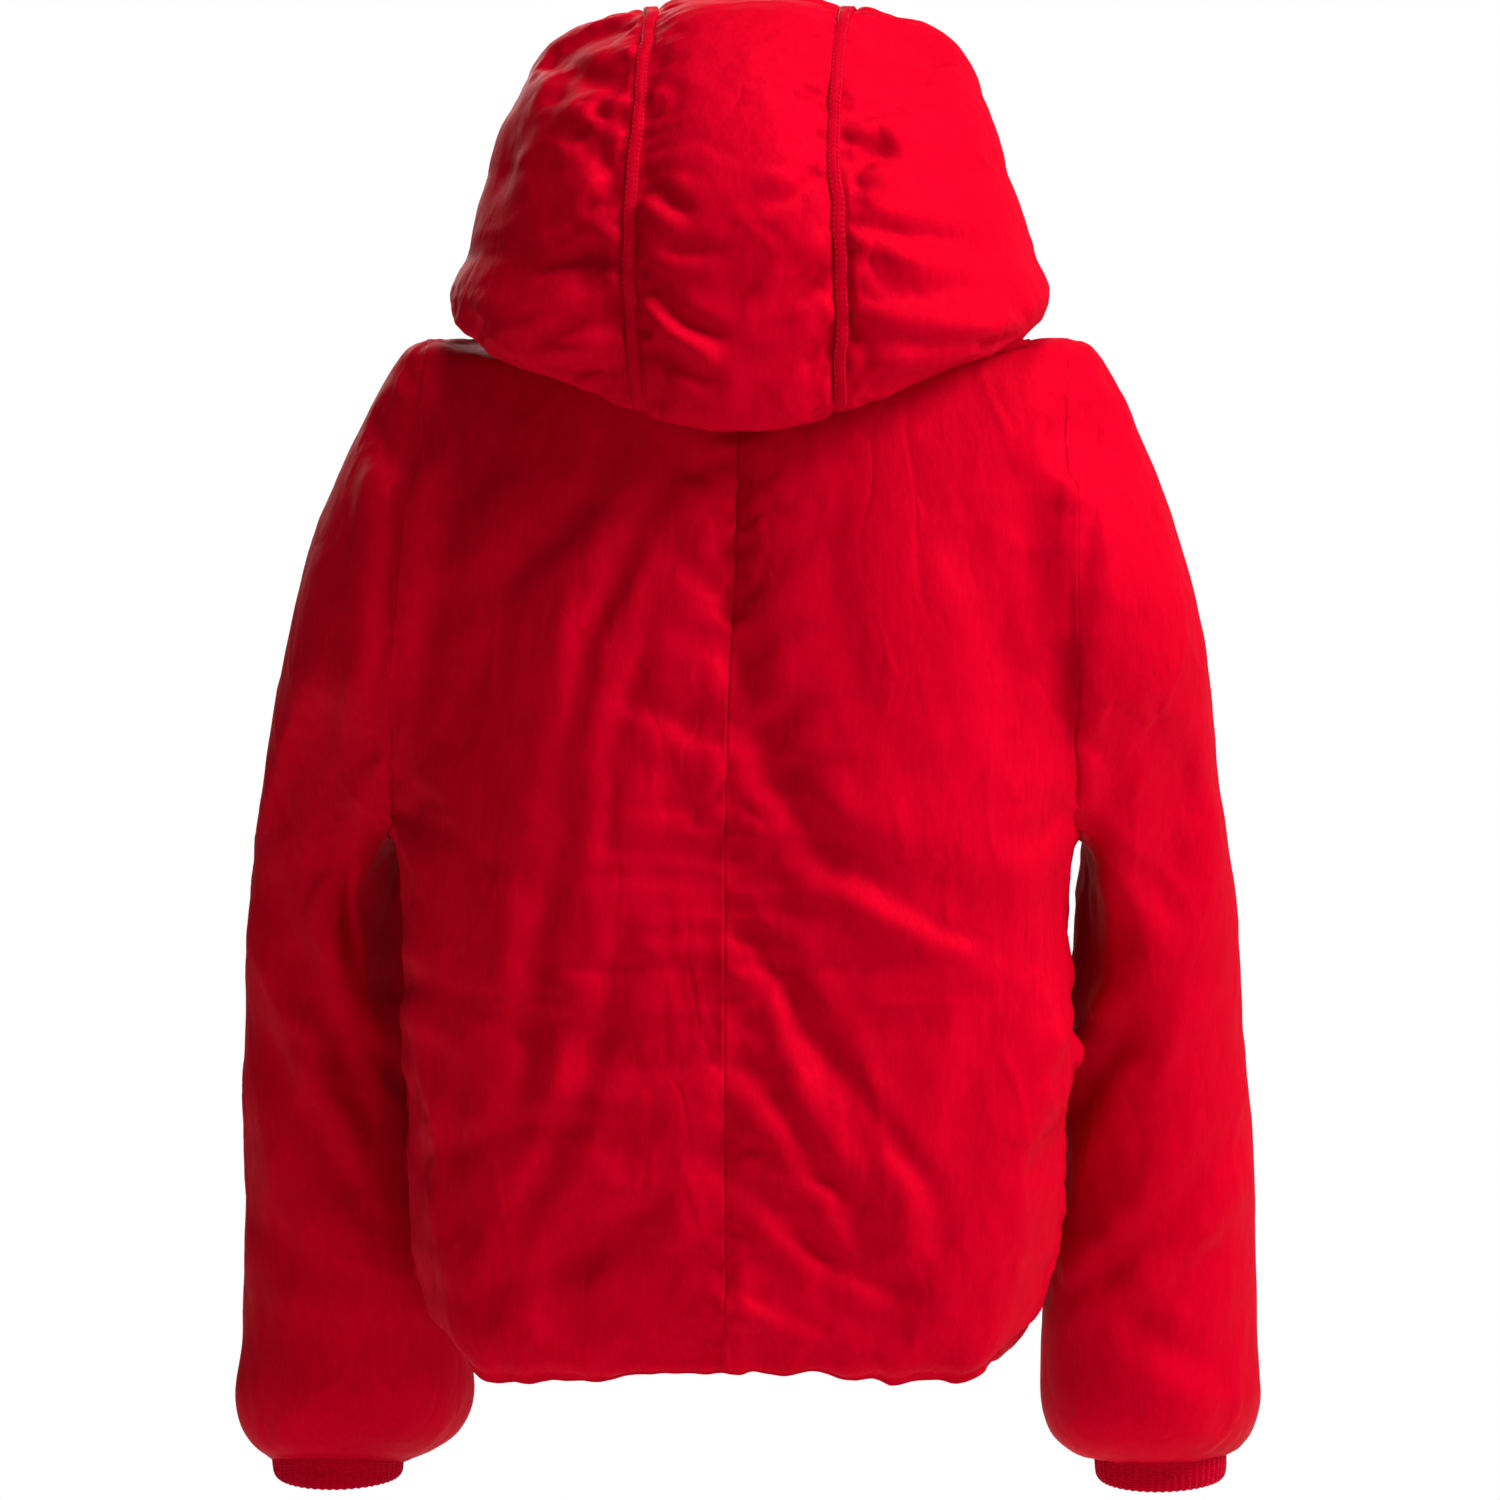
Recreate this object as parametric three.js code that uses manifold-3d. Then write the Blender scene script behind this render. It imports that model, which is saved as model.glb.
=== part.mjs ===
// A hooded, padded ski jacket, worn shape, zipped shut, with its sleeves hanging.
// Millimetres, +Z up. The front faces -Y and the wearer's left is +X. The origin is the middle of the neck
// opening, level with the back neck seam. Every wall is three plies: shell, wadding and lining.
import * as THREE from "three";
import { mergeVertices } from "three/addons/utils/BufferGeometryUtils.js";
import Module from "manifold-3d";

const wasm = await Module();
wasm.setup();

// -------------------------------- driving sizes
const backLength = 650; // back neck seam to hem
const chestHalfWidth = 206;
const backDepth = 141; // fullest point of the back, behind the neck's middle
const hemFrontDepth = 134; // the zip line's distance in front of the neck's middle, at the hem
const neckFrontDepth = 102; // and level with the origin
const widestLine = 42; // the body is widest this far behind the neck's middle
const shoulderHalfWidth = 190; // the armhole's top
const sideSeamY = 4; // side and shoulder seams lie in this plane
const yokeDepth = 100.75; // the shoulders' slope ends this far below the neck seam

const shellThickness = 1.0;
const waddingThickness = 11.5;
const liningThickness = 1.0;
const pocketBagThickness = 2.0; // two plies, lying flat
const plyGap = 0.4;
const seamGap = 0.5;
const clearance = 0.6; // between parts that only touch

const hoodHalfWidth = 173;
const hoodHeight = 176;
const hoodOverhang = 86; // how far the hood's lip hangs below the neck seam
const hoodBackDepth = 180;
const hoodFrontDepth = 110;
const hoodWaddingThickness = 12.5;
const hoodSeamX = 60; // the centre panel's half width
const seamTapeWidth = 9;
const seamTapeThickness = 1.2;
const faceHalfWidth = 88;
const faceHalfHeight = 100;
const faceCentreZ = 45;
const chinHalfWidth = 62;

const collarHalfWidth = 80;
const collarBackDepth = 72;
const collarFrontHeight = 12; // top edge above the origin, in front
const collarBackHeight = 52;
const collarSeamDrop = 115; // how far below the origin the collar's front is sewn in
const collarWaddingThickness = 4.5;

const sleeveDrop = 692; // origin level to the sleeve's end
const upperArmHalfDepth = 88;
const armholeBottomZ = -322;
const cuffHalfWidth = 40;
const cuffHalfDepth = 35;
const cuffWall = 3;
const cuffLength = 62;
const cuffShowing = 24;

const zipTapeWidth = 14;
const zipTapeThickness = 0.7;
const toothRowWidth = 2.0;
const toothRowThickness = 2.4;
const toothRowGap = 1.2; // between the two rows, where the slider's web runs
const zipEdgeX = 8; // half the opening between the two front edges
const flapHalfWidth = 24;
const flapThickness = 4;
const frontRecessHalfWidth = 26; // wadding and lining stop here, behind the zip
const hemTurnThickness = 1.0;
const elasticHeight = 20;
const elasticThickness = 2.5;

const pocketLength = 160;
const pocketMiddleZ = -490;
const pocketAngle = 315; // where on the body's outline the pocket lies, in degrees from +X
const pocketTapeHalfWidth = 13;
const pocketBagWidth = 90;
const pocketBagHeight = 200;

const loopHalfWidth = 27;
const loopHeight = 12;
const strapThickness = 2;
const strapWidth = 7;

// -------------------------------- worked-out sizes
const shellIn = shellThickness;
const waddingOut = shellIn + plyGap;
const waddingIn = waddingOut + waddingThickness;
const bagOut = waddingIn + plyGap;
const bagIn = bagOut + pocketBagThickness;
const liningOut = bagIn + plyGap;
const liningIn = liningOut + liningThickness;
const hoodWaddingIn = waddingOut + hoodWaddingThickness;
const hoodLiningOut = hoodWaddingIn + plyGap;
const hoodLiningIn = hoodLiningOut + liningThickness;
const collarWaddingIn = waddingOut + collarWaddingThickness;
const collarLiningOut = collarWaddingIn + plyGap;
const collarLiningIn = collarLiningOut + liningThickness;
const hemZ = -backLength;
const zipSlope = Math.atan2(hemFrontDepth - neckFrontDepth, backLength);
const zipBottomZ = hemZ + 4;
const zipTopZ = collarFrontHeight - 6;
const far = 2000;

// -------------------------------- colours
const finish = (color, roughness, metalness = 0) =>
  new THREE.MeshStandardMaterial({ color, roughness, metalness });
const redShell = finish(0xc00020, 0.5);
const redLining = finish(0xa8001c, 0.55);
const whiteWadding = finish(0xe9e6df, 0.95);
const redRib = finish(0xb4001a, 0.85);
const redTape = finish(0x9c0018, 0.7);
const redTooth = finish(0xa20019, 0.35);
const redMetal = finish(0x9d0f22, 0.3, 0.6);
const whiteElastic = finish(0xe4e1da, 0.8);

// -------------------------------- solids
const lerp = (a, b, t) => a + (b - a) * t;
const degrees = (value) => (value * Math.PI) / 180;

// A geometry as a manifold-3d solid, in its own coordinates.
function solidOf(geometry) {
  const bare = geometry.index ? geometry.toNonIndexed() : geometry.clone();
  bare.deleteAttribute("normal");
  bare.deleteAttribute("uv");
  const merged = mergeVertices(bare, 1e-3);
  const vertProperties = merged.attributes.position.array;
  const triVerts = new Uint32Array(merged.index.array);
  return new wasm.Manifold(new wasm.Mesh({ numProp: 3, vertProperties, triVerts }));
}

function geometryOf(solid) {
  const mesh = solid.getMesh();
  const geometry = new THREE.BufferGeometry();
  geometry.setAttribute("position", new THREE.BufferAttribute(new Float32Array(mesh.vertProperties), 3));
  geometry.setIndex(new THREE.BufferAttribute(new Uint32Array(mesh.triVerts), 1));
  geometry.computeVertexNormals();
  return geometry;
}

// A box between two corners, moved by a matrix if one is given.
function box(low, high, matrix) {
  const size = high.map((value, axis) => value - low[axis]);
  const geometry = new THREE.BoxGeometry(...size);
  geometry.translate(...low.map((value, axis) => value + size[axis] / 2));
  if (matrix) geometry.applyMatrix4(matrix);
  if (matrix && matrix.determinant() < 0) geometry.setIndex([...geometry.index.array].reverse());
  return solidOf(geometry);
}

// The biggest of the bodies that a cut leaves; the rest is scrap.
function biggest(solid) {
  const bodies = solid.decompose();
  return bodies.reduce((best, body) => (body.volume() > best.volume() ? body : best), bodies[0]);
}

// One closed outline: it runs from `a` to `b` and is `half` wide to each side of that line at the share
// `wide`. `lift` raises its two sides, and `flat` presses its `a` end flat for a zip.
function ring({ a, b, side, half, wide = 0.5, power = 2, lift = 0, flat = false, count }) {
  const along = b.clone().sub(a);
  const length = along.length();
  along.divideScalar(length);
  const points = [];
  for (let i = 0; i < count; i += 1) {
    const t = (2 * Math.PI * i) / count;
    const c = Math.abs(Math.cos(t)) < 1e-9 ? 0 : Math.cos(t);
    const s = Math.abs(Math.sin(t)) < 1e-9 ? 0 : Math.sin(t);
    const across = Math.sign(c) * Math.abs(c) ** (2 / power) * half;
    let reach = Math.abs(s) ** (2 / power);
    if (flat && s < 0) reach = Math.min(1, reach / Math.cos((2 * Math.PI) / count) ** (2 / power));
    const run = wide * length + (s > 0 ? (1 - wide) * length * reach : -wide * length * reach);
    const point = a.clone().addScaledVector(along, run).addScaledVector(side, across);
    point.z += lift * c * c;
    points.push(point);
  }
  return points;
}

// A closed skin through rings that all have the same number of points, with a pole at each end.
function loft(rings) {
  const count = rings[0].length;
  const sumOf = (points) => points.reduce((sum, point) => sum.add(point), new THREE.Vector3());
  const middle = (points) => sumOf(points).divideScalar(count);
  const vertices = [...rings.flat(), middle(rings[0]), middle(rings[rings.length - 1])];
  const index = [];
  for (let r = 0; r < rings.length - 1; r += 1)
    for (let i = 0; i < count; i += 1) {
      const next = (i + 1) % count;
      const [p, q, s, t] = [r * count + i, r * count + next, (r + 1) * count + i, (r + 1) * count + next];
      index.push(p, q, t, p, t, s);
    }
  const last = (rings.length - 1) * count;
  for (let i = 0; i < count; i += 1) {
    const next = (i + 1) % count;
    index.push(vertices.length - 2, next, i, vertices.length - 1, last + i, last + next);
  }
  const geometry = new THREE.BufferGeometry().setFromPoints(vertices);
  geometry.setIndex(index);
  if (solidOf(geometry).volume() < 0) geometry.setIndex(index.reverse());
  geometry.computeVertexNormals();
  return geometry;
}

// The solid inside a skin moved inwards by `depth`, or outwards if it is negative.
function inside(skin, depth) {
  const moved = skin.clone();
  const place = moved.attributes.position;
  const normal = moved.attributes.normal;
  for (let i = 0; i < place.count; i += 1)
    place.setXYZ(
      i,
      place.getX(i) - normal.getX(i) * depth,
      place.getY(i) - normal.getY(i) * depth,
      place.getZ(i) - normal.getZ(i) * depth,
    );
  return solidOf(moved);
}

const join = (solids) => solids.reduce((sum, solid) => sum.add(solid));

// A garment part's wall: the space inside its skins at each of some rising depths, each held within the last.
function wall(skins, depths) {
  const spaces = new Map();
  let last = null;
  for (const depth of depths) {
    const space = join(skins.map((skin) => inside(skin, depth)));
    last = last ? space.intersect(last) : space;
    spaces.set(depth, last);
  }
  return {
    space: (depth) => spaces.get(depth),
    ply: (outer, inner) => spaces.get(outer).subtract(spaces.get(inner)),
  };
}

// The body of a cut solid whose middle lies nearest to an x.
function bodyAt(solid, x) {
  const distance = (body) => {
    const { min, max } = body.boundingBox();
    return Math.abs((min[0] + max[0]) / 2 - x);
  };
  return solid.decompose().reduce((best, body) => (distance(body) < distance(best) ? body : best));
}

const half = { left: [seamGap / 2, far], right: [-far, -seamGap / 2] };
const back = [sideSeamY + seamGap / 2, far];
const front = [-far, sideSeamY - seamGap / 2];
const quarter = (solid, xRange, yRange) =>
  solid.intersect(box([xRange[0], yRange[0], -far], [xRange[1], yRange[1], far]));

// -------------------------------- body
const xAxis = new THREE.Vector3(1, 0, 0);
const zipY = (z) => -(neckFrontDepth - z * Math.tan(zipSlope));
const bodyCount = 20;
const yokeDown = yokeDepth / backLength;
// From below the hem to the top of the shoulders. `down` and `width` and `back` are shares of the body's
// length, width and depth; `dome` draws the front in over the collar bones.
const bodyStations = [
  { down: 1.06, width: 0.93, back: 0.83, dome: 0 },
  { down: 1.0, width: 0.945, back: 0.87, dome: 0 },
  { down: 0.95, width: 0.975, back: 0.95, dome: 0 },
  { down: 0.58, width: 0.995, back: 1.0, dome: 0 },
  { down: 0.32, width: 0.985, back: 0.97, dome: 0 },
  { down: yokeDown, width: 0.955, back: 0.88, dome: 0 },
  { down: 0.452 * yokeDown, width: 0.885, back: 0.76, dome: 0.12 },
  { down: 0.194 * yokeDown, width: 0.74, back: 0.65, dome: 0.28 },
  { down: 0.0, width: 0.5, back: 0.55, dome: 0.46 },
];

function bodyRing({ down, width, back: share, dome }) {
  const z = -down * backLength;
  const a = new THREE.Vector3(0, zipY(z) * (1 - dome), z);
  const b = new THREE.Vector3(0, backDepth * share, z);
  const wide = (Math.min(widestLine, b.y * 0.6) - a.y) / (b.y - a.y);
  return ring({ a, b, side: xAxis, half: chestHalfWidth * width, wide, flat: true, count: bodyCount });
}
const bodySkin = loft(bodyStations.map(bodyRing));

// -------------------------------- sleeves
const sleeveCount = 14;
// Each ring runs from its inner end to its outer end. `out` and `outDown` place the outer end, `in` and
// `inDown` the inner one: distances from the body's widest side, and shares of sleeveDrop. The first ring
// lies inside the body.
const sleeveStations = [
  { out: -72, outDown: 0.045, in: -58, inDown: 0.36, y: 16, depth: 0.68 },
  { out: -16, outDown: 0.03, in: -1, inDown: 0.46, y: 8, depth: 0.98 },
  { out: 19, outDown: 0.12, in: 2, inDown: 0.472, y: -4, depth: 1.02 },
  { out: 53, outDown: 0.23, in: 1, inDown: 0.487, y: -18, depth: 1.0 },
  { out: 75, outDown: 0.38, in: -6, inDown: 0.52, y: -40, depth: 0.94 },
  { out: 88, outDown: 0.52, in: -16, inDown: 0.59, y: -64, depth: 0.88 },
  { out: 95, outDown: 0.665, in: -25, inDown: 0.69, y: -84, depth: 0.84 },
  { out: 101, outDown: 0.84, in: -33, inDown: 0.845, y: -104, depth: 0.8 },
  { out: 103, outDown: 0.94, in: -28, inDown: 0.945, y: -116, depth: 0.75 },
  { out: 99, outDown: 0.975, in: -19, inDown: 0.978, y: -121, depth: 0.66 },
  { out: 86, outDown: 1.0, in: 4, inDown: 1.0, y: -124, depth: 0.47 },
];

function sleeveRing(station) {
  return ring({
    a: new THREE.Vector3(chestHalfWidth + station.in, station.y, -station.inDown * sleeveDrop),
    b: new THREE.Vector3(chestHalfWidth + station.out, station.y, -station.outDown * sleeveDrop),
    side: new THREE.Vector3(0, 1, 0),
    half: station.depth * upperArmHalfDepth,
    count: sleeveCount,
  });
}

const sleeveEnd = sleeveStations[sleeveStations.length - 1];
const cuffMiddle = new THREE.Vector3(
  chestHalfWidth + (sleeveEnd.in + sleeveEnd.out) / 2,
  sleeveEnd.y,
  -sleeveEnd.outDown * sleeveDrop,
);
const cuffTilt = degrees(14); // the forearm leans forward as it goes down
const cuffMatrix = (sideSign) =>
  new THREE.Matrix4()
    .makeTranslation(sideSign * cuffMiddle.x, cuffMiddle.y, cuffMiddle.z)
    .multiply(new THREE.Matrix4().makeRotationX(-cuffTilt));

// An upright elliptical tube or plug in the cuff's own frame, from `low` to `high` along its axis.
function cuffForm(sideSign, grow, low, high) {
  const geometry = new THREE.CylinderGeometry(1, 1, high - low, 24);
  geometry.rotateX(Math.PI / 2);
  geometry.scale(cuffHalfWidth + grow, cuffHalfDepth + grow, 1);
  geometry.translate(0, 0, (high + low) / 2);
  geometry.applyMatrix4(cuffMatrix(sideSign));
  return solidOf(geometry);
}

function mirrored(skin) {
  const copy = skin.clone();
  copy.scale(-1, 1, 1);
  copy.setIndex([...copy.index.array].reverse());
  copy.computeVertexNormals();
  return copy;
}

const leftSleeveSkin = loft(sleeveStations.map(sleeveRing));
const rightSleeveSkin = mirrored(leftSleeveSkin);
const elasticOut = (waddingOut + waddingIn - elasticThickness) / 2;
const elasticIn = elasticOut + elasticThickness;
const garment = wall(
  [bodySkin, leftSleeveSkin, rightSleeveSkin],
  [
    -clearance,
    0,
    shellIn,
    waddingOut,
    elasticOut - plyGap,
    elasticOut,
    elasticIn,
    elasticIn + plyGap,
    waddingIn,
    bagOut,
    bagIn,
    liningOut,
    liningIn,
  ],
);

// The armhole is a flat cut through the union of body and sleeve, from the shoulder's end down to the armpit.
const armholeLean = Math.atan2(chestHalfWidth - 1 - shoulderHalfWidth, -armholeBottomZ);
function armholeBlock(sideSign, low, high) {
  const frame = new THREE.Matrix4()
    .makeTranslation(sideSign * shoulderHalfWidth, 0, 0)
    .multiply(new THREE.Matrix4().makeRotationY(-sideSign * armholeLean));
  const ends = sideSign > 0 ? [low, high] : [-high, -low];
  return box([ends[0], -far, -far], [ends[1], far, far], frame).intersect(
    box([-far, -far, armholeBottomZ], [far, far, far]),
  );
}
const outsideArmholes = armholeBlock(1, -seamGap / 2, far).add(armholeBlock(-1, -seamGap / 2, far));

function sleevePly(name, outer, inner) {
  const sideSign = name === "left" ? 1 : -1;
  const plug = cuffForm(sideSign, clearance, -cuffLength, cuffLength);
  const cut = garment.ply(outer, inner).subtract(armholeBlock(sideSign, -far, seamGap / 2)).subtract(plug);
  return bodyAt(cut, sideSign * (chestHalfWidth + 60));
}

// -------------------------------- collar
const collarCount = 16;
const collarRing = (frontZ, backZ, lean) =>
  ring({
    a: new THREE.Vector3(0, zipY(frontZ), frontZ),
    b: new THREE.Vector3(0, collarBackDepth - lean, backZ),
    side: xAxis,
    half: collarHalfWidth - lean,
    flat: true,
    count: collarCount,
  });
const collarSkin = loft([
  collarRing(-190, -100, 0),
  collarRing(-60, 10, 0),
  collarRing(collarFrontHeight + 30, collarBackHeight + 30, 6),
]);
const collarInside = collarLiningIn + plyGap;
const collarWall = wall(
  [collarSkin],
  [-clearance, 0, shellIn, waddingOut, collarWaddingIn, collarLiningOut, collarLiningIn, collarInside],
);

// Everything above a plane that crosses the zip line at one height and the collar's back at another.
function above(frontZ, backZ) {
  const slope = Math.atan2(backZ - frontZ, collarBackDepth - zipY(frontZ));
  const frame = new THREE.Matrix4()
    .makeTranslation(0, zipY(frontZ), frontZ)
    .multiply(new THREE.Matrix4().makeRotationX(slope));
  return box([-far, -far, 0], [far, far, far], frame);
}
const aboveCollar = above(collarFrontHeight, collarBackHeight);
const neckSeam = [-collarSeamDrop, -collarSeamDrop + 100];
const collarSpace = collarWall
  .space(-clearance)
  .intersect(above(neckSeam[0] - clearance, neckSeam[1] - clearance));
const collarPly = (outer, inner) =>
  collarWall
    .ply(outer, inner)
    .intersect(above(...neckSeam))
    .subtract(aboveCollar)
    .subtract(garment.space(liningIn));

// -------------------------------- hood
const hoodCount = 20;
// Shares of the hood's own sizes: `front` and `back` are the ends' depths, `frontUp` and `backUp` their
// heights (of hoodHeight above the origin, of hoodOverhang below it), and `width` is of hoodHalfWidth.
const hoodStations = [
  { front: 0.45, frontUp: -0.95, back: 0.4, backUp: -0.4, width: 0.45, lift: 24 },
  { front: 0.8, frontUp: -0.9, back: 0.76, backUp: -0.88, width: 0.8, lift: 54 },
  { front: 0.96, frontUp: -0.6, back: 0.94, backUp: -1.0, width: 0.955, lift: 58 },
  { front: 1.0, frontUp: -0.15, back: 1.0, backUp: -0.6, width: 1.0, lift: 40 },
  { front: 1.0, frontUp: 0.27, back: 0.99, backUp: 0.08, width: 0.975, lift: 10 },
  { front: 0.94, frontUp: 0.6, back: 0.87, backUp: 0.5, width: 0.86, lift: 3 },
  { front: 0.78, frontUp: 0.83, back: 0.66, backUp: 0.8, width: 0.7, lift: 0 },
  { front: 0.48, frontUp: 0.96, back: 0.38, backUp: 0.96, width: 0.46, lift: 0 },
  { front: 0.18, frontUp: 1.0, back: 0.14, backUp: 1.0, width: 0.2, lift: 0 },
];
const hoodLevel = (share) => share * (share > 0 ? hoodHeight : hoodOverhang);

function hoodRing(station) {
  return ring({
    a: new THREE.Vector3(0, -station.front * hoodFrontDepth, hoodLevel(station.frontUp)),
    b: new THREE.Vector3(0, station.back * hoodBackDepth, hoodLevel(station.backUp)),
    side: xAxis,
    half: hoodHalfWidth * station.width,
    lift: station.lift,
    power: 2.1,
    count: hoodCount,
  });
}
const hoodSkin = loft(hoodStations.map(hoodRing));
const hoodWall = wall(
  [hoodSkin],
  [-plyGap - seamTapeThickness, -plyGap, 0, shellIn, waddingOut, hoodWaddingIn, hoodLiningOut, hoodLiningIn],
);

// The face opening: round over the brow, narrowing to the chin, and open at the bottom for the collar.
function faceOpening(grow) {
  const outline = new THREE.Shape();
  outline.moveTo(chinHalfWidth + grow, -200);
  outline.lineTo(chinHalfWidth + grow, faceCentreZ - faceHalfHeight);
  outline.lineTo(faceHalfWidth + grow, faceCentreZ);
  outline.absellipse(0, faceCentreZ, faceHalfWidth + grow, faceHalfHeight + grow, 0, Math.PI, false);
  outline.lineTo(-chinHalfWidth - grow, faceCentreZ - faceHalfHeight);
  outline.lineTo(-chinHalfWidth - grow, -200);
  const geometry = new THREE.ExtrudeGeometry(outline, { depth: 300, bevelEnabled: false, curveSegments: 9 });
  geometry.rotateX(Math.PI / 2);
  geometry.translate(0, -40, 0);
  return solidOf(geometry);
}

const bindingReach = 2.4;
const openFace = faceOpening(bindingReach + clearance);
const underHood = garment.space(-clearance).add(collarSpace);
const hoodPly = (outer, inner, opening) => hoodWall.ply(outer, inner).subtract(opening).subtract(underHood);
const slab = (solid, low, high) => solid.intersect(box([low, -far, -far], [high, far, far]));
const hoodPanels = {
  centre: [-hoodSeamX + seamGap / 2, hoodSeamX - seamGap / 2],
  left: [hoodSeamX + seamGap / 2, far],
  right: [-far, -hoodSeamX - seamGap / 2],
};

// -------------------------------- zips
// A zip's own frame: X across, Z along it, and Y into the garment from the shell's outer face.
const mainZip = new THREE.Matrix4()
  .makeTranslation(0, zipY(0), 0)
  .multiply(new THREE.Matrix4().makeRotationX(-zipSlope));
const alongZip = (z) => z / Math.cos(zipSlope);

function pocketFrame(sideSign) {
  const at = (angle, z) => {
    const down = -z / backLength;
    const next = bodyStations.findIndex((station) => station.down < down);
    const [below, over] = [bodyStations[next - 1], bodyStations[next]];
    const t = (below.down - down) / (below.down - over.down);
    const width = lerp(below.width, over.width, t);
    const points = bodyRing({ down, width, back: lerp(below.back, over.back, t), dome: 0 });
    const step = 360 / bodyCount;
    const before = Math.floor(angle / step);
    return points[before].clone().lerp(points[before + 1], angle / step - before);
  };
  const low = at(pocketAngle, pocketMiddleZ - pocketLength / 2);
  const high = at(pocketAngle, pocketMiddleZ + pocketLength / 2);
  const up = high.clone().sub(low).normalize();
  const across = at(pocketAngle + 6, pocketMiddleZ).sub(at(pocketAngle - 6, pocketMiddleZ)).normalize();
  const inwards = up.clone().cross(across).normalize();
  across.copy(inwards).cross(up);
  const middle = low.add(high).multiplyScalar(0.5).addScaledVector(inwards, clearance);
  const frame = new THREE.Matrix4().makeBasis(across, inwards, up).setPosition(middle);
  return sideSign > 0 ? frame : new THREE.Matrix4().makeScale(-1, 1, 1).multiply(frame);
}

// The slider runs on the tooth rows: two plates, a web between the rows, edge flanges and a bridge for the
// pull.
const toothOut = 0.5;
const toothIn = toothOut + toothRowThickness;
const tapeOut = toothOut + (toothRowThickness - zipTapeThickness) / 2;
const tapeIn = tapeOut + zipTapeThickness;
const rowOuterX = toothRowGap / 2 + toothRowWidth;
const slide = 0.3; // running clearance of the slider
const plateHalf = rowOuterX + 2.9;
const plateThickness = 1.5;
const sliderLength = 14;
const bridgeHeight = 4.4;
const bridgeHalf = 1.4;
const flangeWidth = 1.2;
const sink = 0.1; // how far joined blocks run into each other
const eyeZ = 5; // the pull's bar, up from the slider's foot
const pocketSlotHalfWidth = plateHalf + clearance;
const eyeRise = plateThickness + slide + 2.2 - toothOut; // the pull's bar, out from the shell's face
const eyeHalf = 1.3;
const barHalf = 0.7;

function sliderSolid(frame) {
  const plateOut = toothOut - slide;
  const plateIn = toothIn + slide;
  const parts = [
    [[-plateHalf, plateOut - plateThickness, 0], [plateHalf, plateOut, sliderLength]],
    [[-plateHalf, plateIn, 0], [plateHalf, plateIn + plateThickness, sliderLength]],
    [[-toothRowGap / 4, plateOut - sink, sliderLength - 6], [toothRowGap / 4, plateIn + sink, sliderLength]],
    [
      [-bridgeHalf, plateOut - plateThickness - bridgeHeight, 2],
      [bridgeHalf, plateOut - plateThickness + sink, sliderLength - 2],
    ],
  ];
  for (const [low, high] of [[-plateHalf, -plateHalf + flangeWidth], [plateHalf - flangeWidth, plateHalf]]) {
    parts.push([[low, plateOut - sink, 0], [high, tapeOut - slide, sliderLength]]);
    parts.push([[low, tapeIn + slide, 0], [high, plateIn + sink, sliderLength]]);
  }
  const body = parts.map(([low, high]) => box(low, high, frame)).reduce((sum, part) => sum.add(part));
  const eyeZRange = [eyeZ - eyeHalf, eyeZ + eyeHalf];
  const eye = box([-5, -eyeRise - eyeHalf, eyeZRange[0]], [5, -eyeRise + eyeHalf, eyeZRange[1]], frame);
  return body.subtract(eye);
}

// The pull hangs from a bar through the slider's bridge.
const pullHalfWidth = 4;
const pullLength = 30;
const pullWindowHalf = 2; // half the width of the window that the bridge passes through
const pullTabTop = -2.5;
function pullSolid(frame) {
  const part = (x, z) => box([x[0], -eyeRise - barHalf, z[0]], [x[1], -eyeRise + barHalf, z[1]], frame);
  const wholeWidth = [-pullHalfWidth, pullHalfWidth];
  const sideHeight = [pullTabTop - 0.5, eyeZ + barHalf];
  const bar = part(wholeWidth, [eyeZ - barHalf, eyeZ + barHalf]);
  const tab = part(wholeWidth, [-pullLength, pullTabTop]);
  const left = part([pullWindowHalf, pullHalfWidth], sideHeight);
  const right = part([-pullHalfWidth, -pullWindowHalf], sideHeight);
  return bar.add(right).add(left).add(tab);
}

// -------------------------------- assembly
const jacket = new THREE.Group();
const add = (name, solid, material) => {
  const mesh = new THREE.Mesh(geometryOf(solid), material);
  mesh.name = name;
  jacket.add(mesh);
};

const belowHem = box([-far, -far, -far], [far, far, hemZ]);
const zipBox = (x, depth, z) =>
  box([x[0], depth[0], alongZip(z[0])], [x[1], depth[1], alongZip(z[1])], mainZip);
const zipOpening = zipBox([-zipEdgeX, zipEdgeX], [-far, far / 4], [hemZ - 50, 200]);
const frontRecess = zipBox([-frontRecessHalfWidth, frontRecessHalfWidth], [-far, far / 4], [hemZ - 50, 200])
  .intersect(box([-far, -far, -far], [far, sideSeamY - 30, far]));
const frontZipOpening = zipOpening.intersect(box([-far, -far, -far], [far, sideSeamY - 30, far]));
const pocketFrames = { left: pocketFrame(1), right: pocketFrame(-1) };
const pocketBox = (name, halfWidth, depth, extra = 0) =>
  box(
    [-halfWidth, depth[0], -pocketLength / 2 - extra],
    [halfWidth, depth[1], pocketLength / 2 + extra],
    pocketFrames[name],
  );
const pocketSlots = pocketBox("left", pocketSlotHalfWidth, [-20, 10]).add(
  pocketBox("right", pocketSlotHalfWidth, [-20, 10]),
);
const pocketRecess = ["left", "right"]
  .map((name) => pocketBox(name, pocketTapeHalfWidth + clearance, [-20, 9], 7))
  .reduce((sum, part) => sum.add(part));

const trimmedPly = (outer, inner) =>
  bodyAt(garment.ply(outer, inner).subtract(belowHem).subtract(outsideArmholes), 0).subtract(collarSpace);

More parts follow.
